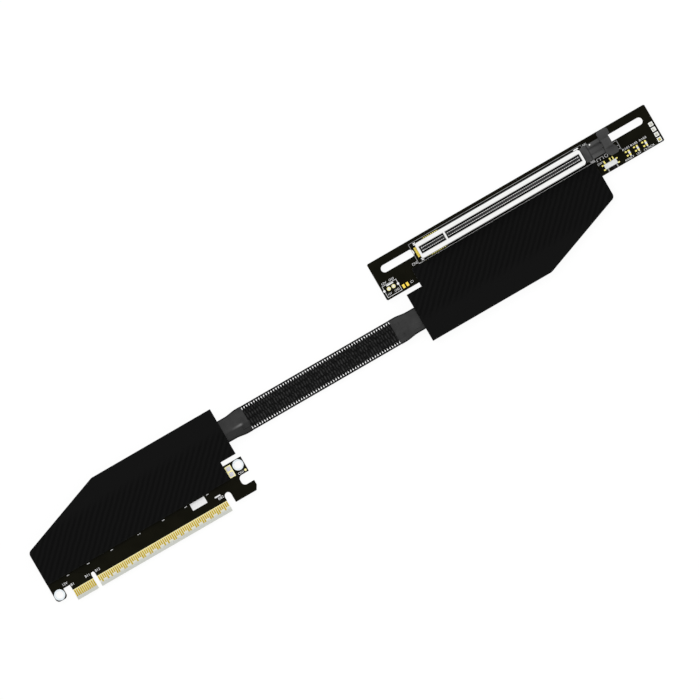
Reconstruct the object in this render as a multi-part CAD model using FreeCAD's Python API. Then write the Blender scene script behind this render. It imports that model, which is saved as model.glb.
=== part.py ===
import FreeCAD, Part
import math
import os

os.makedirs("parts", exist_ok=True)

# Lengths are in millimetres. The cable runs along X at Y = 0 and the covers rest on Z = 0.

# Lengths below this count as nothing
NEAR = 1e-4

# Contact rows shared by both boards
PIN_PITCH = 1.0
PINS_SHORT_SIDE = 11
PINS_LONG_SIDE = 71
KEY_TO_PIN = 1.5
PIN_END_MARGIN = 0.65
GROUND_PINS = (13, 16, 18, 29, 32, 47, 49, 80)
GROUND_PAIR_RUNS = ((21, 26), (35, 44), (52, 77))
GROUND_PAIR = 2
GROUND_PAIR_PITCH = 4

# Both boards
BOARD_THICKNESS = 1.6
BOARD_REACH = 34.44
FOIL = 0.05
TINY_SIDES = 10

# Edge board
TONGUE_HEIGHT = 5.45
TONGUE_BEVEL = 1.5
TONGUE_TIP_THICKNESS = 0.5
KEY_WIDTH = 1.9
KEY_DEPTH = 8.22
EAR_WIDTH = 5.85
EAR_GAP = 3.54
EAR_LIFT = 3.6
EAR_CORNER = 1.9
RELIEF_WIDTH = 3.29
RELIEF_DEPTH = 8.85
FOOT_LENGTH = 12.71
FOOT_LIFT = 2.74
FOOT_HEIGHT = 4.77
FOOT_CHAMFER_X = 1.4
FOOT_CHAMFER_Y = 2.3
HOOK_NOTCH_HEIGHT = 5.02
HOOK_NOTCH_DEPTH = 5.8
HOOK_NOTCH_CORNER = 1.9
EDGE_BOARD_HEIGHT = 20.42
FINGER_WIDTH = 0.7
FINGER_LONG = 3.75
FINGER_SHORT = 2.65
MOUNT_HOLE_RADIUS = 1.8
MOUNT_RING_WIDTH = 0.85
LEFT_HOLE_INSET = 2.84
LEFT_HOLE_LIFT = 6.5
RIGHT_HOLE_INSET = 3.07
RIGHT_HOLE_DROP = 2.93
LAND_WIDTH = 3.07
LAND_HEIGHT = 5.82
LAND_INSET = 6.38
LAND_DROP = 0.94
LAND_SOLDER = 2.1
LAND_SOLDER_HEIGHT = 0.3
TEST_POINT_RADIUS = 0.6
TEST_POINT_INSET = 1.18
TEST_POINT_DROP = 6.71

# Cable and its ribbons
CABLE_LENGTH = 107.56
RIBBON_WIDTH = 8.0
RIBBON_THICKNESS = 0.45
RIBBON_GAP = 0.03
RIBBON_LAYERS = 4
MIDDLE_GAP = 0.05
POWER_RIBBON_WIDTH = 6.0
EDGE_LEG_PINS = (21, 39, 56, 72)
SLOT_LEG_PINS = (21, 37, 53, 68)
POWER_LEG_PIN = 6
LEG_LANDING = 4.3
LEG_BEND_MARGIN = 1.0

# Sleeve and boots
SLEEVE_WALL = 0.35
SLEEVE_WIDTH = 12.85
SLEEVE_CORNER = 0.5
SLEEVE_TUCK = 4.0
FLANGE_ROOT_HALF = 0.6
FLANGE_TIP_HALF = 0.35
WINDOW_COUNT = 61
WINDOW_INSET = 0.15
WINDOW_FILL = 0.42
WINDOW_RIM = 0.62
WINDOW_ROOT = 0.3
EDGE_BOOT_LENGTH = 13.0
SLOT_BOOT_LENGTH = 13.8
BOOT_NECK_WIDTH = 11.5
BOOT_MOUTH_WIDTH = 12.95
BOOT_NECK_WALL = 0.55
BOOT_MOUTH_WALL = 0.4
BOOT_CORNER = 1.2
BOOT_NECK_PART = 0.35
BOOT_FLARE_PART = 0.75
LOOSE_FIT = 0.05

# Covers, each reaching in over its board past a slit beside the cable
COVER_WALL = 0.5
COVER_CLEARANCE = 0.1
COVER_EXIT_INSET = 1.41
COVER_FAR_SIDE = 12.5
COVER_SLIT_WIDTH = 2.15
COVER_SLIT_LENGTH = 8.2
EDGE_COVER_REACH = 7.08
SLOT_COVER_REACH = 7.37
COVER_SLOPE_LENGTH = 43.5
COVER_SLOPE_DROP = 15.9
COVER_FAR_CORNER = 3.8
COVER_END_CORNER = 2.4
COVER_RIM_CHAMFER = 0.45

# Slot board
SLOT_KEY_FROM_EXIT = 29.91
SLOT_BOARD_LEAD = 39.13
SLOT_BOARD_TAIL = 37.56
SLOT_BOARD_HEIGHT = 19.71
SLOT_BOARD_CORNER = 0.5
MOUNT_SLOT_WIDTH = 3.64
MOUNT_SLOT_DROP = 5.83
LEFT_SLOT_LENGTH = 17.73
LEFT_SLOT_INSET = 4.73
RIGHT_SLOT_LENGTH = 20.0
RIGHT_SLOT_INSET = 4.35

# Slot housing and contacts
SLOT_DROP = 6.84
HOUSING_HEIGHT = 11.25
HOUSING_WIDTH = 8.23
HOUSING_END_WALL = 1.25
HOUSING_CORNER = 1.1
HOUSING_STANDOFF = 0.3
HOUSING_FOOT = 1.2
HOUSING_LUG_SIZE = 1.2
HOUSING_LUG_OUT = 0.5
HOUSING_LUG_HEIGHT = 6.0
SIDE_LUG_LENGTH = 2.5
SIDE_LUG_WIDTH = 0.6
SIDE_LUG_PAST_END = 0.1
SLOT_WIDTH = 3.5
SLOT_LEAD_IN = 0.35
SLOT_END_CLEARANCE = 1.45
SLOT_DIVIDER = 1.2
SEAT_CLEARANCE = 0.2
FLOOR_RIB_WIDTH = 0.8
CONTACT_WIDTH = 0.5
CONTACT_THICKNESS = 0.3
CONTACT_FOOT_THICKNESS = 0.25
CONTACT_FOOT_REACH = 0.45
LONG_FOOT_PINS = (3, 10)
CONTACT_ROOT = 0.95
CONTACT_TIP = 0.85
CONTACT_BELOW_RIM = 1.8
TAB_LENGTH = 1.25
TAB_WIDTH = 5.0
TAB_TUCK = 1.0

# Latch
BRACKET_GAP = 0.45
BRACKET_WIDTH = 7.57
BRACKET_HEIGHT = 7.6
BRACKET_STEP_LENGTH = 3.3
CARD_CHANNEL = 3.3
CHANNEL_LEAD_IN = 0.6
CARD_FOOT_GAP = 0.35
CHANNEL_CLEARANCE = 0.5
CHEEK_THICKNESS = 1.28
CHEEK_LENGTH = 3.6
CHEEK_HEIGHT = 5.2
BRACKET_PIN_RADIUS = 0.4
BRACKET_PIN_INSET = 5.1
PIVOT_OFFSET = 1.7
PIVOT_HEIGHT = 2.8
TRUNNION_RADIUS = 0.8
TRUNNION_CLEARANCE = 0.08
LEVER_GAP = 0.3
LEVER_BAR_LENGTH = 5.9
LEVER_BAR_WIDTH = 13.24
LEVER_BAR_LOW = 6.2
LEVER_BAR_HIGH = 8.4
LEVER_WAIST_DEPTH = 1.2
LEVER_WAIST_LENGTH = 4.7
LEVER_WAIST_OFFSET = 0.65
LEVER_WAIST_STEP = 0.3
LEVER_WAIST_SLANT = 2.4
LEVER_BAR_CORNER = 0.8
LEVER_BAR_SLANT = 2.53
LEVER_BAR_TAIL = 0.93
LEVER_STEM_WIDTH = 4.4
LEVER_LEG_WIDTH = 1.05
LEVER_LEG_LENGTH = 2.4
LEVER_LEG_SOLE = 1.3
LEVER_TOWER_LENGTH = 1.7
HOOK_GAP = 0.2
HOOK_LENGTH = 2.6
HOOK_THICKNESS = 2.1
HOOK_NOSE = 0.6

# Slide switch
SWITCH_INSET = 27.66
SWITCH_DROP = 16.66
SWITCH_LENGTH = 6.62
SWITCH_WIDTH = 2.41
SWITCH_HEIGHT = 1.4
SWITCH_SHEET = 0.2
SWITCH_BASE_HEIGHT = 0.3
SWITCH_TRAVEL = 1.5
KNOB_LENGTH = 1.3
KNOB_REACH = 1.4
KNOB_HEIGHT = 0.5
SLIDER_LENGTH = 2.0
SLIDER_GAP = 0.1
SWITCH_LEG_PLACES = (-2.25, 0.75, 2.25)
SWITCH_LEG_WIDTH = 0.65
SWITCH_LEG_REACH = 1.7
SWITCH_TAB_WIDTH = 0.65
SWITCH_TAB_PITCH = 2.2
SWITCH_TAB_REACH = 0.95
SWITCH_STRIP = 0.15

# Small parts on the slot board
CHIP_PAIR_COUNT = 3
CHIP_PAIR_PITCH = 4.5
CHIP_PAIR_INSET = 18.75
CHIP_DROP = 16.3
CHIP_SPACING = 1.45
CHIP_WIDTH = 1.0
CHIP_LENGTH = 2.1
CHIP_CAP = 0.45
LAMP_HEIGHT = 0.7
RESISTOR_HEIGHT = 0.5
END_LAND_COUNT = 4
END_LAND_PITCH = 2.75
END_LAND_SIZE = 2.05
END_LAND_INSET = 1.9
END_LAND_DROP = 9.83
END_LAND_RIM = 0.4
END_SOLDER_HEIGHT = 0.25
HEADER_INSET = 4.73
HEADER_DROP = 15.13
HEADER_PITCH = 2.55
HEADER_HOLE_RADIUS = 0.5
HEADER_RING_RADIUS = 0.95
PEG_HOLE_RADIUS = 0.6
PEG_SPACING = 7.47
CAPACITOR_LAND_WIDTH = 1.2
CAPACITOR_LAND_HEIGHT = 1.9
CAPACITOR_LAND_PITCH = 1.99
CAPACITOR_INSET = 11.2
CAPACITOR_DROP = 17.58

# Places that follow from the sizes above
tongue_short = KEY_TO_PIN + (PINS_SHORT_SIDE - 1) * PIN_PITCH + PIN_END_MARGIN
tongue_long = KEY_TO_PIN + (PINS_LONG_SIDE - 1) * PIN_PITCH + PIN_END_MARGIN
slot_short = tongue_short + SLOT_END_CLEARANCE
slot_long = tongue_long + SLOT_END_CLEARANCE
edge_key_inset = EAR_WIDTH + EAR_GAP + tongue_short
edge_board_length = edge_key_inset + tongue_long + RELIEF_WIDTH + FOOT_LENGTH
cover_length = edge_board_length - COVER_EXIT_INSET
slot_tail = SLOT_KEY_FROM_EXIT + slot_long + HOUSING_END_WALL + SLOT_BOARD_TAIL
overall_length = cover_length + CABLE_LENGTH + slot_tail

edge_left = -overall_length / 2
edge_right = edge_left + edge_board_length
edge_key = edge_left + edge_key_inset
edge_exit = edge_left + cover_length
edge_tip = -BOARD_REACH
edge_top = edge_tip + EDGE_BOARD_HEIGHT
slot_exit = edge_exit + CABLE_LENGTH
slot_key = slot_exit + SLOT_KEY_FROM_EXIT
slot_left = slot_key - SLOT_BOARD_LEAD
slot_right = overall_length / 2
slot_far = BOARD_REACH
slot_near = slot_far - SLOT_BOARD_HEIGHT
slot_axis = slot_far - SLOT_DROP

run_step = RIBBON_THICKNESS + RIBBON_GAP
stack_low = RIBBON_THICKNESS + MIDDLE_GAP
stack_high = stack_low + (RIBBON_LAYERS - 1) * run_step + RIBBON_THICKNESS
cover_inside = stack_high + RIBBON_THICKNESS + COVER_CLEARANCE
cover_half = cover_inside + COVER_WALL
mid_z = cover_half
board_half = BOARD_THICKNESS / 2
board_top = mid_z + board_half
board_bottom = mid_z - board_half

bundle_half = RIBBON_WIDTH / 2 + LOOSE_FIT
bundle_high = stack_high + LOOSE_FIT
sleeve_half = bundle_half + SLEEVE_WALL
sleeve_high = bundle_high + SLEEVE_WALL
sleeve_left = edge_exit + EDGE_BOOT_LENGTH
sleeve_right = slot_exit - SLOT_BOOT_LENGTH
first_window = sleeve_left + WINDOW_INSET
last_window = sleeve_right - WINDOW_INSET
window_pitch = (last_window - first_window) / (WINDOW_COUNT - 1)

housing_left = slot_key - slot_short - HOUSING_END_WALL
housing_right = slot_key + slot_long + HOUSING_END_WALL
housing_top = board_top + HOUSING_HEIGHT
seat_height = HOUSING_HEIGHT - KEY_DEPTH + SEAT_CLEARANCE
bracket_left = housing_right + BRACKET_GAP
card_foot_low = board_top + seat_height + FOOT_LIFT
card_foot_end = slot_key + tongue_long + RELIEF_WIDTH + FOOT_LENGTH
tower_left = card_foot_end + CARD_FOOT_GAP
tower_right = tower_left + LEVER_TOWER_LENGTH
lever_right = tower_right + LEVER_WAIST_DEPTH
lever_left = lever_right - LEVER_BAR_LENGTH
bracket_right = lever_left - LEVER_GAP
pivot_x = bracket_right + PIVOT_OFFSET
pivot_z = board_top + PIVOT_HEIGHT


def point(x, y, z=0.0):
    return FreeCAD.Vector(x, y, z)


def box(x, y, z):
    """Block between the low and high ends given for each axis."""
    block = Part.makeBox(x[1] - x[0], y[1] - y[0], z[1] - z[0])
    block.translate(point(x[0], y[0], z[0]))
    return block


def centred_box(x, y, length, width, z):
    """Block centred on x, y."""
    return box((x - length / 2, x + length / 2), (y - width / 2, y + width / 2), z)


def rod(x, y, radius, z):
    """Upright cylinder."""
    return Part.makeCylinder(radius, z[1] - z[0], point(x, y, z[0]))


def tiny_rod(x, y, radius, z):
    """Upright prism with few sides, for round things of a millimetre or two."""
    corners = []
    for side in range(TINY_SIDES):
        angle = 2 * math.pi * side / TINY_SIDES
        corners.append((x + radius * math.cos(angle), y + radius * math.sin(angle), 0))
    return plate(corners, z)


def rounded_wire(corners):
    """Closed outline through x, y, radius corners, each radius a tangent arc."""
    spans = []
    for index, (x, y, radius) in enumerate(corners):
        here = point(x, y)
        before = point(*corners[index - 1][:2]) - here
        after = point(*corners[(index + 1) % len(corners)][:2]) - here
        before.normalize()
        after.normalize()
        if radius == 0:
            spans.append((here, None, here))
            continue
        half_angle = before.getAngle(after) / 2
        middle = before + after
        middle.normalize()
        reach = radius / math.tan(half_angle)
        arc_middle = here + middle * (radius / math.sin(half_angle) - radius)
        spans.append((here + before * reach, arc_middle, here + after * reach))
    edges = []
    for index, (start, arc_middle, end) in enumerate(spans):
        previous_end = spans[index - 1][2]
        if previous_end.distanceToPoint(start) > NEAR:
            edges.append(Part.makeLine(previous_end, start))
        if arc_middle:
            edges.append(Part.Arc(start, arc_middle, end).toShape())
    return Part.Wire(edges)


def plate(corners, z):
    """Upright prism on a rounded outline."""
    face = Part.Face(rounded_wire(corners))
    face.translate(point(0, 0, z[0]))
    return face.extrude(point(0, 0, z[1] - z[0]))


def rectangle(x, y, radius):
    """Corners of a rectangle with one corner radius."""
    return [(x[0], y[0], radius), (x[1], y[0], radius), (x[1], y[1], radius), (x[0], y[1], radius)]


def cut_rectangle(x, y, cut):
    """Corners of a rectangle with each corner cut off at 45 degrees."""
    return [
        (x[0], y[0] + cut, 0),
        (x[0] + cut, y[0], 0),
        (x[1] - cut, y[0], 0),
        (x[1], y[0] + cut, 0),
        (x[1], y[1] - cut, 0),
        (x[1] - cut, y[1], 0),
        (x[0] + cut, y[1], 0),
        (x[0], y[1] - cut, 0),
    ]


def bar_along_x(profile, x):
    """Prism along X on y, z corners."""
    points = [point(x[0], y, z) for y, z in profile]
    face = Part.Face(Part.makePolygon(points + points[:1]))
    return face.extrude(point(x[1] - x[0], 0, 0))


def bar_along_y(profile, y):
    """Prism along Y on x, z corners."""
    points = [point(x, y[0], z) for x, z in profile]
    face = Part.Face(Part.makePolygon(points + points[:1]))
    return face.extrude(point(0, y[1] - y[0], 0))


def flip_z(shape):
    """The same shape on the other side of the boards' middle plane."""
    return shape.mirror(point(0, 0, mid_z), point(0, 0, 1))


def half_turn(shape):
    """The same shape turned half round about the upright axis."""
    turned = shape.copy()
    turned.rotate(point(0, 0, 0), point(0, 0, 1), 180)
    return turned


def save(name, *solids):
    """One node, a single solid or a group."""
    shape = solids[0] if len(solids) == 1 else Part.makeCompound(list(solids))
    shape.exportStep("parts/" + name + ".step")


def pin_x(key, pin):
    """Place along X of a pin, counted from 1 at the short end."""
    if pin <= PINS_SHORT_SIDE:
        return key - KEY_TO_PIN - (PINS_SHORT_SIDE - pin) * PIN_PITCH
    return key + KEY_TO_PIN + (pin - PINS_SHORT_SIDE - 1) * PIN_PITCH


all_pins = range(1, PINS_SHORT_SIDE + PINS_LONG_SIDE + 1)


def is_ground(pin):
    """Ground pins past the key keep the full finger length."""
    for first, last in GROUND_PAIR_RUNS:
        if first <= pin <= last and (pin - first) % GROUND_PAIR_PITCH < GROUND_PAIR:
            return True
    return pin in GROUND_PINS


def ring(x, y, inner, outer, z):
    """Flat washer-shaped foil, its inner outline clear of the hole."""
    clear = inner / math.cos(math.pi / TINY_SIDES)
    return tiny_rod(x, y, outer, z).cut(tiny_rod(x, y, clear, z))


# Edge board
foot_left = edge_key + tongue_long + RELIEF_WIDTH
foot_low = edge_tip + FOOT_LIFT
foot_top = foot_low + FOOT_HEIGHT
notch_top = foot_top + HOOK_NOTCH_HEIGHT
notch_left = edge_right - HOOK_NOTCH_DEPTH
tongue_left = edge_key - tongue_short
tongue_right = edge_key + tongue_long
key_top = edge_tip + KEY_DEPTH
relief_top = edge_tip + RELIEF_DEPTH
ear_right = edge_left + EAR_WIDTH
ear_low = edge_tip + EAR_LIFT
edge_corners = [
    (edge_left, edge_top, 0),
    (edge_right, edge_top, 0),
    (edge_right, notch_top, 0),
    (notch_left, notch_top, HOOK_NOTCH_CORNER),
    (notch_left, foot_top, HOOK_NOTCH_CORNER),
    (edge_right, foot_top, 0),
    (edge_right, foot_low + FOOT_CHAMFER_Y, 0),
    (edge_right - FOOT_CHAMFER_X, foot_low, 0),
    (foot_left, foot_low, 0),
    (foot_left, relief_top, RELIEF_WIDTH / 2),
    (tongue_right, relief_top, RELIEF_WIDTH / 2),
    (tongue_right, edge_tip, 0),
    (edge_key + KEY_WIDTH / 2, edge_tip, 0),
    (edge_key + KEY_WIDTH / 2, key_top, KEY_WIDTH / 2),
    (edge_key - KEY_WIDTH / 2, key_top, KEY_WIDTH / 2),
    (edge_key - KEY_WIDTH / 2, edge_tip, 0),
    (tongue_left, edge_tip, 0),
    (tongue_left, key_top, 0),
    (ear_right, key_top, 0),
    (ear_right, ear_low, EAR_CORNER),
    (edge_left, ear_low, EAR_CORNER),
]
mount_holes = [
    (edge_left + LEFT_HOLE_INSET, edge_tip + LEFT_HOLE_LIFT),
    (edge_right - RIGHT_HOLE_INSET, edge_top - RIGHT_HOLE_DROP),
]
board_z = (board_bottom, board_top)
edge_board = plate(edge_corners, board_z)
for x, y in mount_holes:
    edge_board = edge_board.cut(rod(x, y, MOUNT_HOLE_RADIUS, board_z))
bevel_profile = [
    (edge_tip, board_top),
    (edge_tip + TONGUE_BEVEL, board_top),
    (edge_tip, mid_z + TONGUE_TIP_THICKNESS / 2),
]
bevel = bar_along_x(bevel_profile, (tongue_left, tongue_right))
edge_board = edge_board.cut(bevel).cut(flip_z(bevel))
save("edge_board", edge_board)

# Gold fingers, the same on both faces
finger_top = edge_tip + TONGUE_HEIGHT
foil_z = (board_top, board_top + FOIL)
fingers = []
for pin in all_pins:
    full = pin <= PINS_SHORT_SIDE or is_ground(pin)
    finger_low = finger_top - (FINGER_LONG if full else FINGER_SHORT)
    x = pin_x(edge_key, pin)
    fingers.append(box((x - FINGER_WIDTH / 2, x + FINGER_WIDTH / 2), (finger_low, finger_top), foil_z))
save("edge_fingers_upper", *fingers)
save("edge_fingers_lower", *[flip_z(finger) for finger in fingers])

# Plated rings, solder land and test point
ring_radius = MOUNT_HOLE_RADIUS + MOUNT_RING_WIDTH
rings = [ring(x, y, MOUNT_HOLE_RADIUS, ring_radius, foil_z) for x, y in mount_holes]
save("edge_hole_rings", *rings)
land_x = edge_right - LAND_INSET - LAND_WIDTH / 2
land_y = edge_top - LAND_DROP - LAND_HEIGHT / 2
land = centred_box(land_x, land_y, LAND_WIDTH, LAND_HEIGHT, foil_z)
test_point = tiny_rod(edge_right - TEST_POINT_INSET, edge_top - TEST_POINT_DROP, TEST_POINT_RADIUS, foil_z)
save("edge_lands", land, test_point)
solder_z = (board_top + FOIL, board_top + LAND_SOLDER_HEIGHT)
land_solder = []
for side in (-1, 1):
    y = land_y + side * LAND_HEIGHT / 4
    land_solder.append(centred_box(land_x, y, LAND_SOLDER, LAND_SOLDER, solder_z))
save("edge_land_solder", *land_solder)


# Ribbons, each folded once at each end
def leg(x, start_y, end_y, near_z, far_z, thickness, width):
    """The bent strip between a fold and a board."""
    toward = math.copysign(1.0, end_y - start_y)
    bend_start = start_y + toward * (2 * width + LEG_BEND_MARGIN)
    bend_end = end_y - toward * (LEG_LANDING + LEG_BEND_MARGIN)
    under = [(start_y, near_z), (bend_start, near_z), (bend_end, far_z), (end_y, far_z)]
    over = [(y, z + thickness) for y, z in reversed(under)]
    return bar_along_x(under + over, (x - width, x + width))


def ribbon(edge_x, slot_x, lane, width, run_z, edge_z, slot_z, edge_land_z, slot_land_z, thickness):
    """One flat conductor strip from board to board."""
    low = lane - width
    high = lane + width
    z = (run_z, run_z + thickness)
    run_corners = [
        (edge_x - width, low, 0),
        (slot_x - width, low, 0),
        (slot_x + width, high, 0),
        (edge_x + width, high, 0),
    ]
    strip = plate(run_corners, z)
    edge_end = edge_top - LEG_LANDING
    slot_end = slot_near + LEG_LANDING
    everywhere = (0, 2 * mid_z)
    edge_corners_here = [
        (edge_x - width, edge_end, 0),
        (edge_x + width, edge_end, 0),
        (edge_x + width, high, 0),
        (edge_x - width, low, 0),
    ]
    slot_corners_here = [
        (slot_x - width, low, 0),
        (slot_x + width, high, 0),
        (slot_x + width, slot_end, 0),
        (slot_x - width, slot_end, 0),
    ]
    edge_leg = leg(edge_x, high, edge_end, edge_z, edge_land_z, thickness, width)
    slot_leg = leg(slot_x, low, slot_end, slot_z, slot_land_z, thickness, width)
    edge_leg = edge_leg.common(plate(edge_corners_here, everywhere))
    slot_leg = slot_leg.common(plate(slot_corners_here, everywhere))
    return strip.fuse([edge_leg, slot_leg]).removeSplitter()


for layer in range(RIBBON_LAYERS):
    run_z = mid_z + stack_low + layer * run_step
    upper = ribbon(
        pin_x(edge_key, EDGE_LEG_PINS[layer]),
        pin_x(slot_key, SLOT_LEG_PINS[layer]),
        0,
        RIBBON_WIDTH / 2,
        run_z,
        run_z + RIBBON_THICKNESS,
        run_z - RIBBON_THICKNESS,
        board_top,
        board_top,
        RIBBON_THICKNESS,
    )
    save("signal_ribbon_upper_" + str(layer + 1), upper)
    save("signal_ribbon_lower_" + str(layer + 1), flip_z(upper))

power_thickness = stack_low - MIDDLE_GAP - RIBBON_GAP
power_z = mid_z + RIBBON_GAP
power_ribbon = ribbon(
    pin_x(edge_key, POWER_LEG_PIN),
    pin_x(slot_key, POWER_LEG_PIN),
    (POWER_RIBBON_WIDTH - RIBBON_WIDTH) / 2,
    POWER_RIBBON_WIDTH / 2,
    power_z,
    power_z + power_thickness,
    power_z - power_thickness,
    board_top,
    board_bottom - power_thickness,
    power_thickness,
)
save("power_ribbon", power_ribbon)

# Sleeve: flat tube with a pierced flange along each edge
top_half = sleeve_half - SLEEVE_CORNER
tube_profile = [
    (-sleeve_half, mid_z - sleeve_high + SLEEVE_CORNER),
    (-top_half, mid_z - sleeve_high),
    (top_half, mid_z - sleeve_high),
    (sleeve_half, mid_z - sleeve_high + SLEEVE_CORNER),
    (sleeve_half, mid_z + sleeve_high - SLEEVE_CORNER),
    (top_half, mid_z + sleeve_high),
    (-top_half, mid_z + sleeve_high),
    (-sleeve_half, mid_z + sleeve_high - SLEEVE_CORNER),
]
sleeve_ends = (sleeve_left - SLEEVE_TUCK, sleeve_right + SLEEVE_TUCK)
tube = bar_along_x(tube_profile, sleeve_ends)
flange_profile = [
    (0, mid_z - FLANGE_ROOT_HALF),
    (sleeve_half, mid_z - FLANGE_ROOT_HALF),
    (SLEEVE_WIDTH / 2, mid_z - FLANGE_TIP_HALF),
    (SLEEVE_WIDTH / 2, mid_z + FLANGE_TIP_HALF),
    (sleeve_half, mid_z + FLANGE_ROOT_HALF),
    (0, mid_z + FLANGE_ROOT_HALF),
]
flange = bar_along_x(flange_profile, (sleeve_left, sleeve_right))
flange_other = flange.mirror(point(0, 0, 0), point(0, 1, 0))
window_half = window_pitch * WINDOW_FILL / 2
window_y = (sleeve_half + WINDOW_ROOT, SLEEVE_WIDTH / 2 - WINDOW_RIM)
window_z = (mid_z - FLANGE_ROOT_HALF, mid_z + FLANGE_ROOT_HALF)
windows = []
for index in range(WINDOW_COUNT):
    x = first_window + index * window_pitch
    window = box((x - window_half, x + window_half), window_y, window_z)
    windows.append(window)
    windows.append(window.mirror(point(0, 0, 0), point(0, 1, 0)))
bore_y = (-bundle_half, bundle_half)
bore_z = (mid_z - bundle_high, mid_z + bundle_high)
sleeve = tube.fuse([flange, flange_other]).removeSplitter()
sleeve = sleeve.cut(box(sleeve_ends, bore_y, bore_z))
sleeve = sleeve.cut(Part.makeCompound(windows))
save("braided_sleeve", sleeve.Solids[0])


# Boots: heat-shrink necks flaring over the sleeve ends
def flat_loft(loops):
    """Solid with flat faces through loops of equally many points."""
    faces = [Part.Face(Part.makePolygon(loop + loop[:1])) for loop in (loops[0], loops[-1])]
    for near, far in zip(loops, loops[1:]):
        for index in range(len(near)):
            quad = [near[index - 1], near[index], far[index], far[index - 1], near[index - 1]]
            faces.append(Part.Face(Part.makePolygon(quad)))
    solid = Part.makeSolid(Part.makeShell(faces))
    solid.fix(NEAR, NEAR, NEAR)
    return solid


def boot_loop(x, half, high):
    """Rectangle with cut corners across the cable."""
    upper = [(half, high - BOOT_CORNER), (half - BOOT_CORNER, high)]
    upper += [(BOOT_CORNER - half, high), (-half, high - BOOT_CORNER)]
    lower = [(-y, -z) for y, z in upper]
    return [point(x, y, mid_z + z) for y, z in upper + lower]


def boot(cover_x, mouth_x):
    """Hollow neck from a cover to the sleeve."""
    length = mouth_x - cover_x
    neck = (BOOT_NECK_WIDTH / 2, bundle_high + BOOT_NECK_WALL)
    mouth = (BOOT_MOUTH_WIDTH / 2, sleeve_high + LOOSE_FIT + BOOT_MOUTH_WALL)
    body = flat_loft([
        boot_loop(cover_x, *neck),
        boot_loop(cover_x + length * BOOT_NECK_PART, *neck),
        boot_loop(cover_x + length * BOOT_FLARE_PART, *mouth),
        boot_loop(mouth_x, *mouth),
    ])
    bore = box((min(cover_x, mouth_x), max(cover_x, mouth_x)), bore_y, bore_z)
    tuck_x = mouth_x - math.copysign(SLEEVE_TUCK + LOOSE_FIT, length)
    pocket_half = sleeve_half + LOOSE_FIT
    pocket_high = sleeve_high + LOOSE_FIT
    pocket_z = (mid_z - pocket_high, mid_z + pocket_high)
    pocket_x = (min(tuck_x, mouth_x), max(tuck_x, mouth_x))
    pocket = box(pocket_x, (-pocket_half, pocket_half), pocket_z)
    return body.cut(bore).cut(pocket)


save("edge_boot", boot(edge_exit, sleeve_left))
save("slot_boot", boot(slot_exit, sleeve_right))


# Covers: upper and lower shells closed on the boards' middle plane
def cover_shell(board_side, reach):
    """Upper shell of a cover that leaves its cable at the origin towards +X, its board on +Y."""
    far = -COVER_FAR_SIDE
    slope_end = far + COVER_SLOPE_DROP
    near = board_side + reach
    slit_side = board_side - COVER_SLIT_WIDTH
    corners = [
        (0, far, 0),
        (cover_length - COVER_SLOPE_LENGTH, far, COVER_FAR_CORNER),
        (cover_length, slope_end, COVER_END_CORNER),
        (cover_length, near, 0),
        (COVER_SLIT_LENGTH, near, 0),
        (COVER_SLIT_LENGTH, slit_side, 0),
        (0, slit_side, 0),
    ]
    outline = Part.Face(rounded_wire(corners))
    outside = outline.extrude(point(0, 0, cover_half))
    rim = [edge for edge in outside.Edges if edge.BoundBox.ZMin > cover_half - NEAR]
    outside = outside.makeChamfer(COVER_RIM_CHAMFER, rim)
    inside = outline.makeOffset2D(-COVER_WALL).extrude(point(0, 0, cover_inside))
    mouth = box((0, COVER_WALL), bore_y, (0, bundle_high))
    shell = outside.cut(inside).cut(mouth)
    shell.translate(point(0, 0, mid_z))
    return shell


edge_cover = half_turn(cover_shell(-edge_top, EDGE_COVER_REACH))
edge_cover.translate(point(edge_exit, 0, 0))
edge_cover = edge_cover.cut(box((edge_left, edge_right), (edge_tip, edge_top), board_z))
save("edge_cover_upper", edge_cover)
save("edge_cover_lower", flip_z(edge_cover))
slot_cover = cover_shell(slot_near, SLOT_COVER_REACH)
slot_cover.translate(point(slot_exit, 0, 0))
slot_cover = slot_cover.cut(box((slot_left, slot_right), (slot_near, slot_far), board_z))
save("slot_cover_upper", slot_cover)
save("slot_cover_lower", flip_z(slot_cover))

# Slot board
slot_y = slot_far - MOUNT_SLOT_DROP
slot_half = MOUNT_SLOT_WIDTH / 2
left_slot = (slot_left + LEFT_SLOT_INSET, slot_left + LEFT_SLOT_INSET + LEFT_SLOT_LENGTH)
right_slot = (slot_right - RIGHT_SLOT_INSET - RIGHT_SLOT_LENGTH, slot_right - RIGHT_SLOT_INSET)
slot_outline = cut_rectangle((slot_left, slot_right), (slot_near, slot_far), SLOT_BOARD_CORNER)
slot_board = plate(slot_outline, board_z)
for slot in (left_slot, right_slot):
    slot_corners = rectangle(slot, (slot_y - slot_half, slot_y + slot_half), slot_half)
    slot_board = slot_board.cut(plate(slot_corners, board_z))
header_x = slot_left + HEADER_INSET
header_y = slot_far - HEADER_DROP
header_places = [header_x - HEADER_PITCH / 2, header_x + HEADER_PITCH / 2]
for x in header_places:
    slot_board = slot_board.cut(tiny_rod(x, header_y, HEADER_HOLE_RADIUS, board_z))
for side in (-1, 1):
    x = header_x + side * PEG_SPACING / 2
    slot_board = slot_board.cut(tiny_rod(x, header_y, PEG_HOLE_RADIUS, board_z))
save("slot_board", slot_board)

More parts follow.
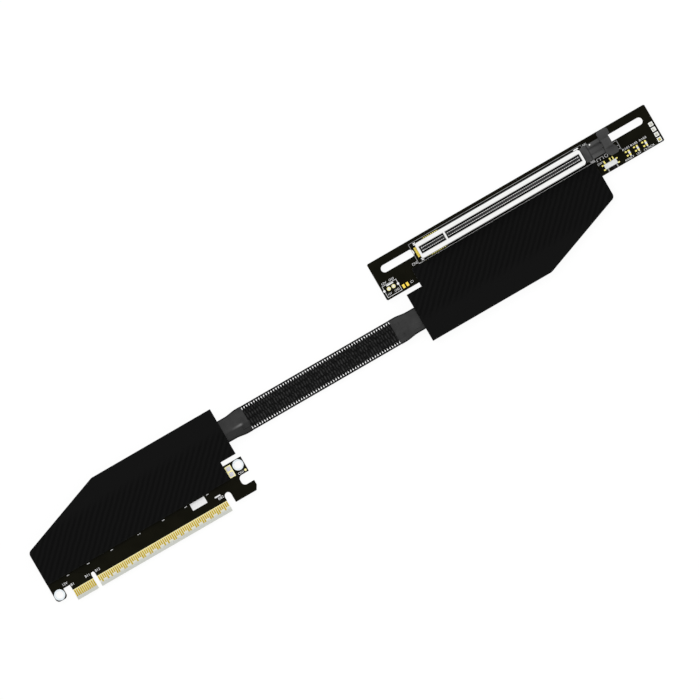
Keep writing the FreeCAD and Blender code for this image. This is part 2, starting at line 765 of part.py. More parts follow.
# Slot housing on stand-offs, with a seat rib for the card between the contact rows
housing_half = HOUSING_WIDTH / 2
slot_open = SLOT_WIDTH / 2
housing_low = board_top + HOUSING_STANDOFF
housing_outline = cut_rectangle(
    (housing_left, housing_right),
    (slot_axis - housing_half, slot_axis + housing_half),
    HOUSING_CORNER,
)
housing = plate(housing_outline, (housing_low, housing_top))
pockets = [
    (slot_key - slot_short, slot_key - SLOT_DIVIDER / 2),
    (slot_key + SLOT_DIVIDER / 2, slot_key + slot_long),
]
pocket_y = (slot_axis - slot_open, slot_axis + slot_open)
for pocket in pockets:
    housing = housing.cut(box(pocket, pocket_y, (housing_low, housing_top)))
lead_edges = []
for edge in housing.Edges:
    bounds = edge.BoundBox
    inside_rim = abs(bounds.Center.y - slot_axis) < slot_open + NEAR
    on_end = bounds.XMin < housing_left + NEAR or bounds.XMax > housing_right - NEAR
    if bounds.ZMin > housing_top - NEAR and inside_rim and not on_end:
        lead_edges.append(edge)
housing = housing.makeChamfer(SLOT_LEAD_IN, lead_edges)
rib_half = FLOOR_RIB_WIDTH / 2
rib_y = (slot_axis - rib_half, slot_axis + rib_half)
rib_x = (slot_key - slot_short, slot_key + slot_long)
seat_rib = box(rib_x, rib_y, (housing_low, board_top + seat_height))
foot_z = (board_top, housing_low)
feet = [centred_box(slot_key, slot_axis, SLOT_DIVIDER, HOUSING_WIDTH, foot_z)]
end_wall_x = housing_right - HOUSING_END_WALL / 2
feet.append(centred_box(end_wall_x, slot_axis, HOUSING_FOOT, SLOT_WIDTH, foot_z))
for side in (-1, 1):
    y = slot_axis + side * (TAB_WIDTH / 2 + housing_half) / 2
    foot_width = housing_half - TAB_WIDTH / 2 - 2 * LOOSE_FIT
    x = housing_left + HOUSING_CORNER + HOUSING_FOOT / 2
    feet.append(centred_box(x, y, HOUSING_FOOT, foot_width, foot_z))
lug_middle = HOUSING_LUG_OUT - HOUSING_LUG_SIZE / 2
lug_z = (housing_low, board_top + HOUSING_LUG_HEIGHT)
lugs = []
for side in (-1, 1):
    y = slot_axis + side * (housing_half + lug_middle)
    lugs.append(centred_box(housing_left - lug_middle, y, HOUSING_LUG_SIZE, HOUSING_LUG_SIZE, lug_z))
side_lug_right = housing_right + SIDE_LUG_PAST_END
side_lug_x = (side_lug_right - SIDE_LUG_LENGTH, side_lug_right)
side_lug_low = slot_axis + housing_half
lugs.append(box(side_lug_x, (side_lug_low, side_lug_low + SIDE_LUG_WIDTH), lug_z))
housing = housing.fuse([seat_rib] + feet + lugs).removeSplitter()
save("slot_housing", housing)

# Spring contacts leaning towards the card; the feet of some power pins reach out under the wall
contact_tip_z = housing_top - CONTACT_BELOW_RIM
foot_end = housing_half + CONTACT_FOOT_REACH
blade = [
    (slot_axis + CONTACT_ROOT, board_top),
    (slot_axis + CONTACT_TIP, contact_tip_z),
    (slot_axis + CONTACT_TIP + CONTACT_THICKNESS, contact_tip_z),
]
short_tail = [(slot_axis + CONTACT_ROOT + CONTACT_THICKNESS, board_top)]
long_tail = [
    (slot_axis + CONTACT_ROOT + CONTACT_THICKNESS, board_top + CONTACT_FOOT_THICKNESS),
    (slot_axis + foot_end, board_top + CONTACT_FOOT_THICKNESS),
    (slot_axis + foot_end, board_top),
]
far_contacts = []
for pin in all_pins:
    x = pin_x(slot_key, pin)
    tail = long_tail if LONG_FOOT_PINS[0] <= pin <= LONG_FOOT_PINS[1] else short_tail
    far_contacts.append(bar_along_x(blade + tail, (x - CONTACT_WIDTH / 2, x + CONTACT_WIDTH / 2)))
save("slot_contacts_far", *far_contacts)
save("slot_contacts_near", *[one.mirror(point(0, slot_axis, 0), point(0, 1, 0)) for one in far_contacts])
tab_x = (housing_left - TAB_LENGTH, housing_left + TAB_TUCK)
tab_y = (slot_axis - TAB_WIDTH / 2, slot_axis + TAB_WIDTH / 2)
save("slot_solder_tab", box(tab_x, tab_y, (board_top, board_top + CONTACT_FOOT_THICKNESS)))

# Latch bracket with a channel for the card's foot, open over its left part, and two pivot cheeks
bracket_half = BRACKET_WIDTH / 2
bracket_y = (slot_axis - bracket_half, slot_axis + bracket_half)
bracket_top = board_top + BRACKET_HEIGHT
bracket = box((bracket_left, bracket_right), bracket_y, (board_top, bracket_top))
channel_half = CARD_CHANNEL / 2
channel_rim = channel_half + CHANNEL_LEAD_IN
channel_low = card_foot_low - CHANNEL_CLEARANCE
channel_profile = [
    (slot_axis - channel_half, channel_low),
    (slot_axis + channel_half, channel_low),
    (slot_axis + channel_half, bracket_top - CHANNEL_LEAD_IN),
    (slot_axis + channel_rim, bracket_top),
    (slot_axis - channel_rim, bracket_top),
    (slot_axis - channel_half, bracket_top - CHANNEL_LEAD_IN),
]
bracket = bracket.cut(bar_along_x(channel_profile, (bracket_left, bracket_right)))
step_x = (bracket_left, bracket_left + BRACKET_STEP_LENGTH)
bracket = bracket.cut(box(step_x, bracket_y, (channel_low, bracket_top)))
cheek_inner = bracket_half - CHEEK_THICKNESS
cheek_x = (bracket_right, bracket_right + CHEEK_LENGTH)
cheek_z = (board_top, board_top + CHEEK_HEIGHT)
cheeks = [
    box(cheek_x, (slot_axis + cheek_inner, slot_axis + bracket_half), cheek_z),
    box(cheek_x, (slot_axis - bracket_half, slot_axis - cheek_inner), cheek_z),
]
pivot_start = point(pivot_x, slot_axis - bracket_half, pivot_z)
pivot_hole_radius = TRUNNION_RADIUS + TRUNNION_CLEARANCE
pivot_hole = Part.makeCylinder(pivot_hole_radius, BRACKET_WIDTH, pivot_start, point(0, 1, 0))
bracket = bracket.fuse(cheeks).removeSplitter().cut(pivot_hole)
bracket_pin_x = bracket_left + BRACKET_PIN_INSET
bracket_pin_y = slot_axis + (bracket_half + channel_rim) / 2
bracket_pin = tiny_rod(bracket_pin_x, bracket_pin_y, BRACKET_PIN_RADIUS, (board_top, bracket_top))
save("latch_bracket", bracket.cut(bracket_pin))
save("latch_bracket_pin", bracket_pin)

# Latch lever: cross bar, hook tower and two legs on trunnions
bar_half = LEVER_BAR_WIDTH / 2
waist_low = slot_axis + LEVER_WAIST_OFFSET - LEVER_WAIST_LENGTH / 2
waist_high = slot_axis + LEVER_WAIST_OFFSET + LEVER_WAIST_LENGTH / 2
tail_left = lever_left - LEVER_BAR_TAIL
tail_y = slot_axis - bracket_half - LEVER_GAP
bar_corners = [
    (lever_left, slot_axis + bar_half - LEVER_BAR_CORNER, 0),
    (lever_left + LEVER_BAR_CORNER, slot_axis + bar_half, 0),
    (lever_right - LEVER_BAR_CORNER, slot_axis + bar_half, 0),
    (lever_right, slot_axis + bar_half - LEVER_BAR_CORNER, 0),
    (lever_right, waist_high + LEVER_WAIST_STEP, 0),
    (tower_right, waist_high, 0),
    (tower_right, waist_low, 0),
    (lever_right, waist_low - LEVER_WAIST_SLANT, 0),
    (lever_right, slot_axis - bar_half + LEVER_BAR_CORNER, 0),
    (lever_right - LEVER_BAR_CORNER, slot_axis - bar_half, 0),
    (tail_left + LEVER_BAR_SLANT, slot_axis - bar_half, 0),
    (tail_left, tail_y, 0),
    (lever_left, tail_y, 0),
]
bar_low = board_top + LEVER_BAR_LOW
hook_low = card_foot_low + FOOT_HEIGHT + HOOK_GAP
lever_top = hook_low + HOOK_THICKNESS
stem_half = LEVER_STEM_WIDTH / 2
stem_y = (slot_axis - stem_half, slot_axis + stem_half)
bar = plate(bar_corners, (bar_low, board_top + LEVER_BAR_HIGH))
tower_profile = [
    (tower_left, bar_low),
    (tower_right, bar_low),
    (tower_right, lever_top),
    (tower_left, lever_top),
    (tower_left - HOOK_LENGTH, hook_low + HOOK_NOSE),
    (tower_left - HOOK_LENGTH, hook_low),
    (tower_left, hook_low),
]
tower = bar_along_y(tower_profile, stem_y)
foot_space_half = stem_half - LEVER_LEG_WIDTH
foot_space_y = (slot_axis - foot_space_half, slot_axis + foot_space_half)
foot_space = box((lever_left, tower_left), foot_space_y, (board_top, hook_low))
leg_x = (pivot_x - LEVER_LEG_LENGTH / 2, pivot_x + LEVER_LEG_LENGTH / 2)
leg_z = (pivot_z - LEVER_LEG_SOLE, bar_low)
lever = bar.fuse([tower, box(leg_x, stem_y, leg_z)]).cut(foot_space)
trunnions = []
for side in (-1, 1):
    start = point(pivot_x, slot_axis + side * foot_space_half, pivot_z)
    trunnion_length = bracket_half - foot_space_half - LEVER_GAP
    trunnions.append(Part.makeCylinder(TRUNNION_RADIUS, trunnion_length, start, point(0, side, 0)))
lever = lever.fuse(trunnions).removeSplitter()
save("latch_lever", lever)

# Slide switch, its knob towards the cover and shown at the right-hand end of its travel
switch_x = slot_right - SWITCH_INSET
switch_y = slot_far - SWITCH_DROP
switch_half_x = SWITCH_LENGTH / 2
switch_half_y = SWITCH_WIDTH / 2
frame_top = board_top + SWITCH_HEIGHT
cavity_x = SWITCH_LENGTH - 2 * SWITCH_SHEET
cavity_y = SWITCH_WIDTH - 2 * SWITCH_SHEET
base_top = board_top + SWITCH_BASE_HEIGHT
slider_z = (base_top + SLIDER_GAP, frame_top - SWITCH_SHEET - SLIDER_GAP)
knob_low = (slider_z[0] + slider_z[1] - KNOB_HEIGHT) / 2
knob_z = (knob_low, knob_low + KNOB_HEIGHT)
frame = centred_box(switch_x, switch_y, SWITCH_LENGTH, SWITCH_WIDTH, (board_top, frame_top))
frame = frame.cut(centred_box(switch_x, switch_y, cavity_x, cavity_y, (board_top, frame_top - SWITCH_SHEET)))
window_length = KNOB_LENGTH + SWITCH_TRAVEL + 2 * SLIDER_GAP
knob_window_z = (knob_z[0] - SLIDER_GAP, knob_z[1] + SLIDER_GAP)
frame = frame.cut(centred_box(switch_x, switch_y - switch_half_y, window_length, SWITCH_WIDTH, knob_window_z))
save("switch_frame", frame)
save("switch_base", centred_box(switch_x, switch_y, cavity_x, cavity_y, (board_top, base_top)))
knob_x = switch_x + SWITCH_TRAVEL / 2
slider = centred_box(knob_x, switch_y, SLIDER_LENGTH, cavity_y - 2 * SLIDER_GAP, slider_z)
knob_y = (switch_y - switch_half_y - KNOB_REACH, switch_y)
knob = box((knob_x - KNOB_LENGTH / 2, knob_x + KNOB_LENGTH / 2), knob_y, knob_z)
save("switch_knob", slider.fuse(knob).removeSplitter())
strip_z = (board_top, board_top + SWITCH_STRIP)
strips = []
for place in SWITCH_LEG_PLACES:
    y = switch_y + switch_half_y + SWITCH_LEG_REACH / 2
    strips.append(centred_box(switch_x + place, y, SWITCH_LEG_WIDTH, SWITCH_LEG_REACH, strip_z))
for side_x in (-1, 1):
    for side_y in (-1, 1):
        x = switch_x + side_x * (switch_half_x + SWITCH_TAB_REACH / 2)
        y = switch_y + side_y * SWITCH_TAB_PITCH / 2
        strips.append(centred_box(x, y, SWITCH_TAB_REACH, SWITCH_TAB_WIDTH, strip_z))
save("switch_terminals", *strips)

# Indicator lamps, each with a resistor on its left
chip_y = slot_far - CHIP_DROP
chip_caps = []


def chip(x, height):
    """Chip body; its two end caps join the shared group."""
    z = (board_top, board_top + height)
    body_length = CHIP_LENGTH - 2 * CHIP_CAP
    for side in (-1, 1):
        y = chip_y + side * (CHIP_LENGTH - CHIP_CAP) / 2
        chip_caps.append(centred_box(x, y, CHIP_WIDTH, CHIP_CAP, z))
    return centred_box(x, chip_y, CHIP_WIDTH, body_length, z)


for index in range(CHIP_PAIR_COUNT):
    resistor_x = slot_right - CHIP_PAIR_INSET + index * CHIP_PAIR_PITCH
    save("resistor_" + str(index + 1), chip(resistor_x, RESISTOR_HEIGHT))
    save("lamp_" + str(index + 1), chip(resistor_x + CHIP_SPACING, LAMP_HEIGHT))
save("chip_caps", *chip_caps)

# Bare lands on the slot board
header_rings = [ring(x, header_y, HEADER_HOLE_RADIUS, HEADER_RING_RADIUS, foil_z) for x in header_places]
save("header_rings", *header_rings)
capacitor_x = slot_left + CAPACITOR_INSET
capacitor_y = slot_far - CAPACITOR_DROP
capacitor_lands = []
for side in (-1, 1):
    x = capacitor_x + side * CAPACITOR_LAND_PITCH / 2
    capacitor_lands.append(centred_box(x, capacitor_y, CAPACITOR_LAND_WIDTH, CAPACITOR_LAND_HEIGHT, foil_z))
save("capacitor_lands", *capacitor_lands)
end_x = slot_right - END_LAND_INSET
end_solder_size = END_LAND_SIZE - 2 * END_LAND_RIM
end_solder_z = (board_top + FOIL, board_top + END_SOLDER_HEIGHT)
end_lands = []
end_solder = []
for index in range(END_LAND_COUNT):
    y = slot_far - END_LAND_DROP - index * END_LAND_PITCH
    end_lands.append(centred_box(end_x, y, END_LAND_SIZE, END_LAND_SIZE, foil_z))
    end_solder.append(centred_box(end_x, y, end_solder_size, end_solder_size, end_solder_z))
save("end_lands", *end_lands)
save("end_solder", *end_solder)
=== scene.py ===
import math

import bmesh
import bpy
from mathutils import Matrix, Vector, noise


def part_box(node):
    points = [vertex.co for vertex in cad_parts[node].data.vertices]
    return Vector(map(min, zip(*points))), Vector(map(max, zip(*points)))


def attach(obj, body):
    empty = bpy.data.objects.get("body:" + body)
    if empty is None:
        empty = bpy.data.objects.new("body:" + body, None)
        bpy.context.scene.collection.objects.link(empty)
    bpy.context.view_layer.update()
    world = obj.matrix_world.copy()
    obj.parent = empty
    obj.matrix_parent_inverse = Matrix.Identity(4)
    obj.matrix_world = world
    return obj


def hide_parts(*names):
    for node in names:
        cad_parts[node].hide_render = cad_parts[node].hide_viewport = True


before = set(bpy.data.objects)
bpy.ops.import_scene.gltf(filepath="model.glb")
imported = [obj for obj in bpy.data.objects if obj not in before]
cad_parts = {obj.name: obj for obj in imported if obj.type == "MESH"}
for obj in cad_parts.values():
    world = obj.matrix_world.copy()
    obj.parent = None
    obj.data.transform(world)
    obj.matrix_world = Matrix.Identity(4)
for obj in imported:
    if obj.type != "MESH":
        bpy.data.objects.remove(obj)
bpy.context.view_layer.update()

# Sizes are in millimetres; meshes are scaled to metres when they become pieces
MM = 0.001

# View of the photograph: straight down, the cable rising to the right
VIEW_WIDTH = 331.0
VIEW_CENTRE = (0.59, 3.48)
VIEW_TILT = 30.08
LENS = 800.0
SENSOR = 36.0
CAMERA_REACH = 100000.0

# Lamps and floor, in metres
KEY_PLACE = (-0.15, 0.4, 1.1)
KEY_POWER = 5.2
SIDE_PLACE = (0.95, -0.25, 0.7)
SIDE_POWER = 2.0
LAMP_SIZE = 0.7
FILL = 0.55
FLOOR_SIZE = 4.0
FLOOR_DROP = 0.0001
FLOOR_GLOW = 0.93
FLOOR_SHADE = 0.09
WHITE = (1.0, 1.0, 1.0, 1.0)

# Contact rows; the springs are given from tip to root by their place off the slot's axis and below the tip
PIN_PITCH = 1.0
PINS_SHORT_SIDE = 11
PINS_LONG_SIDE = 71
KEY_TO_PIN = 1.5
PIN_WIDTH = 0.5
SPRING_WIDTH = 0.76
SPRING_THICKNESS = 0.2
SPRING_LINE = (
    (0.88, 0.2), (0.82, 0.12), (0.7, 0.14), (0.6, 0.3),
    (0.56, 0.8), (0.62, 1.3), (0.76, 2.4), (0.96, 4.4),
)
# Depths below the spring tips where their painted shade starts and is full
SPRING_SHADE_DEPTHS = (0.6, 2.2)
SPRING_ROOT = 1.1
FOOT_WIDTH = 0.42
LONG_FOOT_WIDTH = 0.56
FOOT_TUCK = 0.3
FOOT_REACH = 0.15
LONG_FOOT_PINS = (3, 10)
# Painted shade inside the slot: the mouth's half width, the depths where the shade starts and is full, and
# how far off the axis it turns from pale to dark
SLOT_MOUTH = 2.1
SLOT_SHADE_TOP = 0.08
SLOT_SHADE_FULL = 0.4
SLOT_PALE_SHADE_HALF = 1.05
SLOT_DEEP_SHADE_HALF = 1.15
ROW_END_GAP = 0.3
ROW_END_LENGTH = 0.75
ROW_END_Y = (0.45, 1.02)
ROW_END_DROP = 0.2
HOUSING_LUG_OUT = 0.5
# Width of the painted shade along the housing's upper long edges
HOUSING_RIM_SHADE = 0.35
END_LAND_COUNT = 4

# Latch: lips and a tongue level with the channel's floor close the bracket's end towards the lever
CHEEK_LENGTH = 3.6
CHANNEL_HALF = 1.65
CHANNEL_LEAD_IN = 0.6
CHANNEL_DEPTH = 2.13
BRACKET_STEP_LENGTH = 3.3
# Width of the painted shade where the bracket's step ends
STEP_SHADE_WIDTH = 0.4
LIP_LENGTH = 0.2
LIP_DROP = 0.1
TONGUE_LENGTH = 2.7
TONGUE_HALF = 1.0
TONGUE_THICKNESS = 0.8

# Lands of the lamps and resistors
CHIP_LAND_REACH = 0.3
CHIP_LAND_INSET = 0.1
CHIP_LAND_HEIGHT = 0.05

# Card edge
CARD_TONGUE_MARGIN = 1.0
FINGER_LONG = 3.75
FINGER_FADE = 2.0
# Width of the painted highlight along the fingers' upper ends
FINGER_HIGHLIGHT = 0.7

# Covers
TWILL_PITCH = 2.41
TWILL_HEIGHT = 0.05
THREAD_PITCH = 0.42
THREAD_HEIGHT = 0.012
EDGE_TWILL_END = 1.2
SLOT_TWILL_END = -0.8
TWILL_FADE = 2.0
COVER_SHEEN = 0.2
BRAID_SHEEN = 0.15
SHEEN_ROUGHNESS = 0.35

# Sleeve
SLEEVE_CORE_WIDTH = 8.8
SLEEVE_CORNER = 0.9
SLEEVE_TUCK = 4.0
SLEEVE_WALL = 0.35
WINDOW_COUNT = 61
WINDOW_INSET = 0.15
WINDOW_Y = 5.26
WINDOW_HALF_LENGTH = 0.4
WINDOW_HALF_WIDTH = 0.24
WINDOW_LEAN = 0.14
BAR_ROOT_Y = 4.2
BAR_ROOT_HALF = 0.6
BAR_TIP_HALF = 0.35
BAR_STEPS = 12
BAR_SIDES = 10
RIM_SCALLOP = 0.05
RIB_HEIGHT = 0.26
RIB_FADE = 1.0
RIB_STEPS = 8
ROW_SHIFT = 0.35
SEAMS = (2.2, -0.8)
SEAM_WIDTH = 0.35
SEAM_DEPTH = 0.12

# Boots
BOOT_NECK_WIDTH = 11.5
BOOT_NECK_WALL = 0.55
BOOT_NECK_PART = 0.3
BOOT_FLARE_PART = 0.8
BOOT_CORNER = 1.2
BOOT_LIP = 0.3
BOOT_STEPS = 60
BOOT_SIDE_PART = 0.4
BOOT_SAG = 0.4
EDGE_FOLD = 1.0
SLOT_FOLD = 0.3
FOLD_Y = -1.16
FOLD_WIDTH = 0.68
FOLD_HEIGHT = 0.28
FOLD_START = 0.2
FOLD_FULL = 0.65
FOLD_END = 0.8
FOLD_FADE = 0.08
# Painted highlight along the edge boot's fold: where it starts, is brightest and ends as shares of the
# boot's length, and its half width
FOLD_HIGHLIGHT_SPAN = (0.28, 0.69, 0.8)
HIGHLIGHT_WIDTH = 0.9
WRINKLE_HEIGHT = 0.09
WRINKLE_SIZE = 3.5
LOOSE_FIT = 0.05

# Printing
INK = 0.03
LETTER_STEPS = 3
LETTER_DEPTH = 0.5
LETTER_WEIGHT = 0.0
SHADED_WEIGHT = 0.06
SHADED_WORD = "B82"
RING_STEPS = 48

# Plated rings: the radius of the hole and the ring
EAR_RING = (1.8, 2.65)
HEADER_RING = (0.55, 0.95)

# Print on the edge board: words and bars, their middle from the board's left and tip, and their size
EDGE_WORDS = (
    ("12V", (7.7, 9.8), (2.5, 1.15)),
    ("B1", (10.55, 7.9), (1.5, 1.15)),
    ("B11", (18.7, 7.9), (2.2, 1.15)),
    ("B12", (24.3, 7.9), (2.45, 1.15)),
    ("B82", (91.9, 8.1), (2.7, 1.2)),
    ("CN1", (106.0, 13.6), (2.75, 1.15)),
)
EDGE_BARS = (
    ((81.3, 11.0), (7.8, 3.5)),
    ((90.8, 9.4), (3.0, 0.65)),
    ((49.2, 12.57), (0.6, 0.32)),
    ((50.2, 12.57), (0.6, 0.32)),
)
EDGE_DASHES = (10.9, 22.0, 34.8, 62.9, 75.2, 87.0)
EDGE_DASH_LIFT = 12.57
EDGE_DASH = (1.3, 0.32)

# Print on the slot board: words and bars, their middle from the board's left and near side, and their size
SLOT_WORDS = (
    ("12V", (2.76, 8.01), (2.4, 1.0)),
    ("GND", (6.66, 8.01), (2.7, 1.0)),
    ("12V", (2.86, 2.27), (2.0, 0.9)),
    ("GND", (6.66, 2.27), (2.5, 1.0)),
    ("C1", (14.66, 2.1), (1.4, 1.2)),
    ("CN2", (20.26, 8.77), (3.2, 1.26)),
    ("A82", (117.46, 17.27), (2.2, 1.0)),
    ("B82", (116.96, 8.22), (2.5, 1.3)),
    ("SW1", (119.66, 5.67), (2.9, 1.1)),
    ("R101", (133.66, 5.84), (3.6, 1.0)),
    ("R102", (138.06, 5.84), (3.6, 1.0)),
    ("R103", (142.86, 5.84), (3.6, 1.0)),
    ("RESET", (133.06, 0.87), (4.8, 0.85)),
    ("12V", (138.06, 0.87), (2.4, 0.85)),
    ("CLOCK", (143.66, 0.87), (5.8, 0.85)),
)
SLOT_BARS = (
    ((4.93, 6.35), (3.6, 0.6)),
    ((68.81, 7.73), (94.1, 0.25)),
    ((118.96, 7.57), (0.32, 1.3)),
    ((120.61, 7.57), (0.32, 1.3)),
    ((122.26, 7.57), (0.32, 1.3)),
    ((119.79, 8.27), (1.33, 0.25)),
    ((121.44, 8.27), (1.33, 0.25)),
    ((134.24, 1.82), (0.7, 0.42)),
    ((138.74, 1.82), (0.7, 0.42)),
    ((143.24, 1.82), (0.7, 0.42)),
)
# Bars in a dimmer copy of the white ink, painted shade for marks out in the light so they read as dim as
# white marks in shade
SLOT_SOFT_BARS = (
    ((68.81, 18.01), (94.1, 0.2)),
    ((21.76, 12.87), (0.25, 10.5)),
    ((115.86, 12.87), (0.25, 10.5)),
    ((121.61, 1.07), (0.55, 1.9)),
    ((126.36, 1.07), (0.55, 1.9)),
    ((131.66, 9.05), (0.3, 4.8)),
    ((130.55, 11.33), (2.0, 0.3)),
    ((131.1, 9.03), (0.9, 0.3)),
    ((131.1, 7.37), (0.9, 0.3)),
)
HEADER_BOX_X = (1.09, 8.61)
HEADER_BOX_Y = (1.04, 6.95)
HEADER_BOX_LINE = 0.2
LATCH_MARK = (123.96, 7.67)
LATCH_MARK_RADIUS = 0.9
LATCH_MARK_LINE = 0.25

# Softened edges
WELD_DISTANCE = 0.001
FLAT_ANGLE = 2
SOFT_ANGLE = 30
SOFT_STEPS = 3

# Finishes: how far roughness varies to both sides of its own value
METAL_VARIES = (0.06, 0.1)
PLASTIC_VARIES = (0.06, 0.08)
SOFT_VARIES = (0.05, 0.1)
BRAID_VARIES = (0.1, 0.12)

# Finishes: sizes of clouds, smears and grain, heights of relief, and waves by their wobble and its size
CLOUD_DETAIL = 3.0
CLOUD_SPREAD = (0.3, 0.7)
LEVEL_LIMIT = 0.5
METAL_CLOUD = 1.6
METAL_SMEAR = 0.5
METAL_GRAIN = 0.35
METAL_RELIEF = 0.006
SOLDER_RELIEF = 0.012
PLASTIC_CLOUD = 5.0
PLASTIC_SMEAR = 0.6
PLASTIC_GRAIN = 0.18
MASK_CLOUD = 7.0
MASK_DETAIL = 4.0
MASK_SPREAD = (0.35, 0.65)
MASK_GRAIN = 0.9
MASK_RELIEF = 0.012
TRACE_DIRECTION = (1, 0.35, 0)
TRACE_PITCH = 1.4
TRACE_WOBBLE = (6.0, 9.0)
TRACE_HEIGHT = 0.01
LAMINATE_GRAIN = 0.8
PAD_CLOUD = 0.7
PAD_SPREAD = (0.4, 0.6)
PAD_GRAIN = 0.4
PAD_RELIEF = 0.02
TWILL_WOBBLE = (2.2, 6.0)
THREAD_WOBBLE = (1.0, 3.0)
SHRINK_CLOUD = 4.0
SHRINK_SMEAR = 1.2
SHRINK_GRAIN = 0.4
SHRINK_RELIEF = 0.008
# Painted shade on the tube's faces that turn sideways: where it starts and where it is full
SHRINK_SIDE_SHADE = (0.42, 0.68)
# Sharpness of the painted highlight along the fold
HIGHLIGHT_SHARPNESS = 1.3
DRAW_DIRECTION = (0, 1, 0.4)
DRAW_PITCH = 0.9
DRAW_WOBBLE = (8.0, 4.0)
DRAW_HEIGHT = 0.012
BRAID_CLOUD = 0.8
# Patches of painted highlight on the braid's rib crests: their size, spread and lowest share
PATCH_SIZE = 1.3
PATCH_SPREAD = (0.38, 0.62)
PATCH_LOW = 0.15
STRAND_DIRECTION = (1, 0.5, 0.5)
STRAND_PITCH = 0.16
STRAND_WOBBLE = (0.6, 1.0)
STRAND_HEIGHT = 0.02
RIBBON_PITCH = 0.7
RIBBON_RELIEF = 0.03
FLOOR_CLOUD = 400.0

# Roughness of the metals, and roughness, specular level and texture of the plastics
GOLD_ROUGHNESS = 0.34
TIN_ROUGHNESS = 0.36
DULL_ROUGHNESS = 0.4
STEEL_ROUGHNESS = 0.45
HOUSING_SURFACE = (0.45, 0.1, 0.008)
LATCH_SURFACE = (0.5, 0.12, 0.012)
KNOB_SURFACE = (0.5, 0.1, 0.01)
CERAMIC_SURFACE = (0.4, 0.1, 0.006)
LAMP_SURFACE = (0.25, 0.3, 0.004)
INK_SURFACE = (0.7, 0.1, 0.01)

# Sockets of a colour mix
MIX_FACTOR = 0
MIX_FIRST = 6
MIX_SECOND = 7
MIX_RESULT = 2


def corners(node):
    """Lowest and highest corner of a node, in millimetres."""
    low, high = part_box(node)
    return low / MM, high / MM


edge_low, edge_high = corners("edge_board")
slot_low = corners("slot_board")[0]
finger_low, finger_high = corners("edge_fingers_upper")
sleeve_low, sleeve_high = corners("braided_sleeve")
edge_boot_low, edge_boot_high = corners("edge_boot")
slot_boot_low, slot_boot_high = corners("slot_boot")
far_low, far_high = corners("slot_contacts_far")
near_low = corners("slot_contacts_near")[0]
housing_low, housing_high = corners("slot_housing")
bracket_low, bracket_high = corners("latch_bracket")
end_low, end_high = corners("end_lands")
last_land_end = end_low.y + (end_high.y - end_low.y) / END_LAND_COUNT
board_top = edge_high.z
mid_z = (edge_low.z + edge_high.z) / 2
slot_axis = (near_low.y + far_high.y) / 2
housing_half = slot_axis - housing_low.y - HOUSING_LUG_OUT
first_pin = far_low.x + PIN_WIDTH / 2
slot_key = first_pin + (PINS_SHORT_SIDE - 1) * PIN_PITCH + KEY_TO_PIN
sleeve_left = edge_boot_high.x
sleeve_right = slot_boot_low.x
sleeve_half = SLEEVE_CORE_WIDTH / 2
sleeve_half_height = (sleeve_high.z - sleeve_low.z) / 2
window_start = sleeve_left + WINDOW_INSET
window_pitch = (sleeve_right - WINDOW_INSET - window_start) / (WINDOW_COUNT - 1)


def colour(red, green, blue):
    """Scene colour of a screen colour given from 0 to 255."""
    shares = [channel / 255 for channel in (red, green, blue)]
    return tuple(c / 12.92 if c <= 0.04045 else ((c + 0.055) / 1.055) ** 2.4 for c in shares) + (1.0,)


def grey(level):
    """Scene colour of a screen grey given from 0 to 255."""
    return colour(level, level, level)


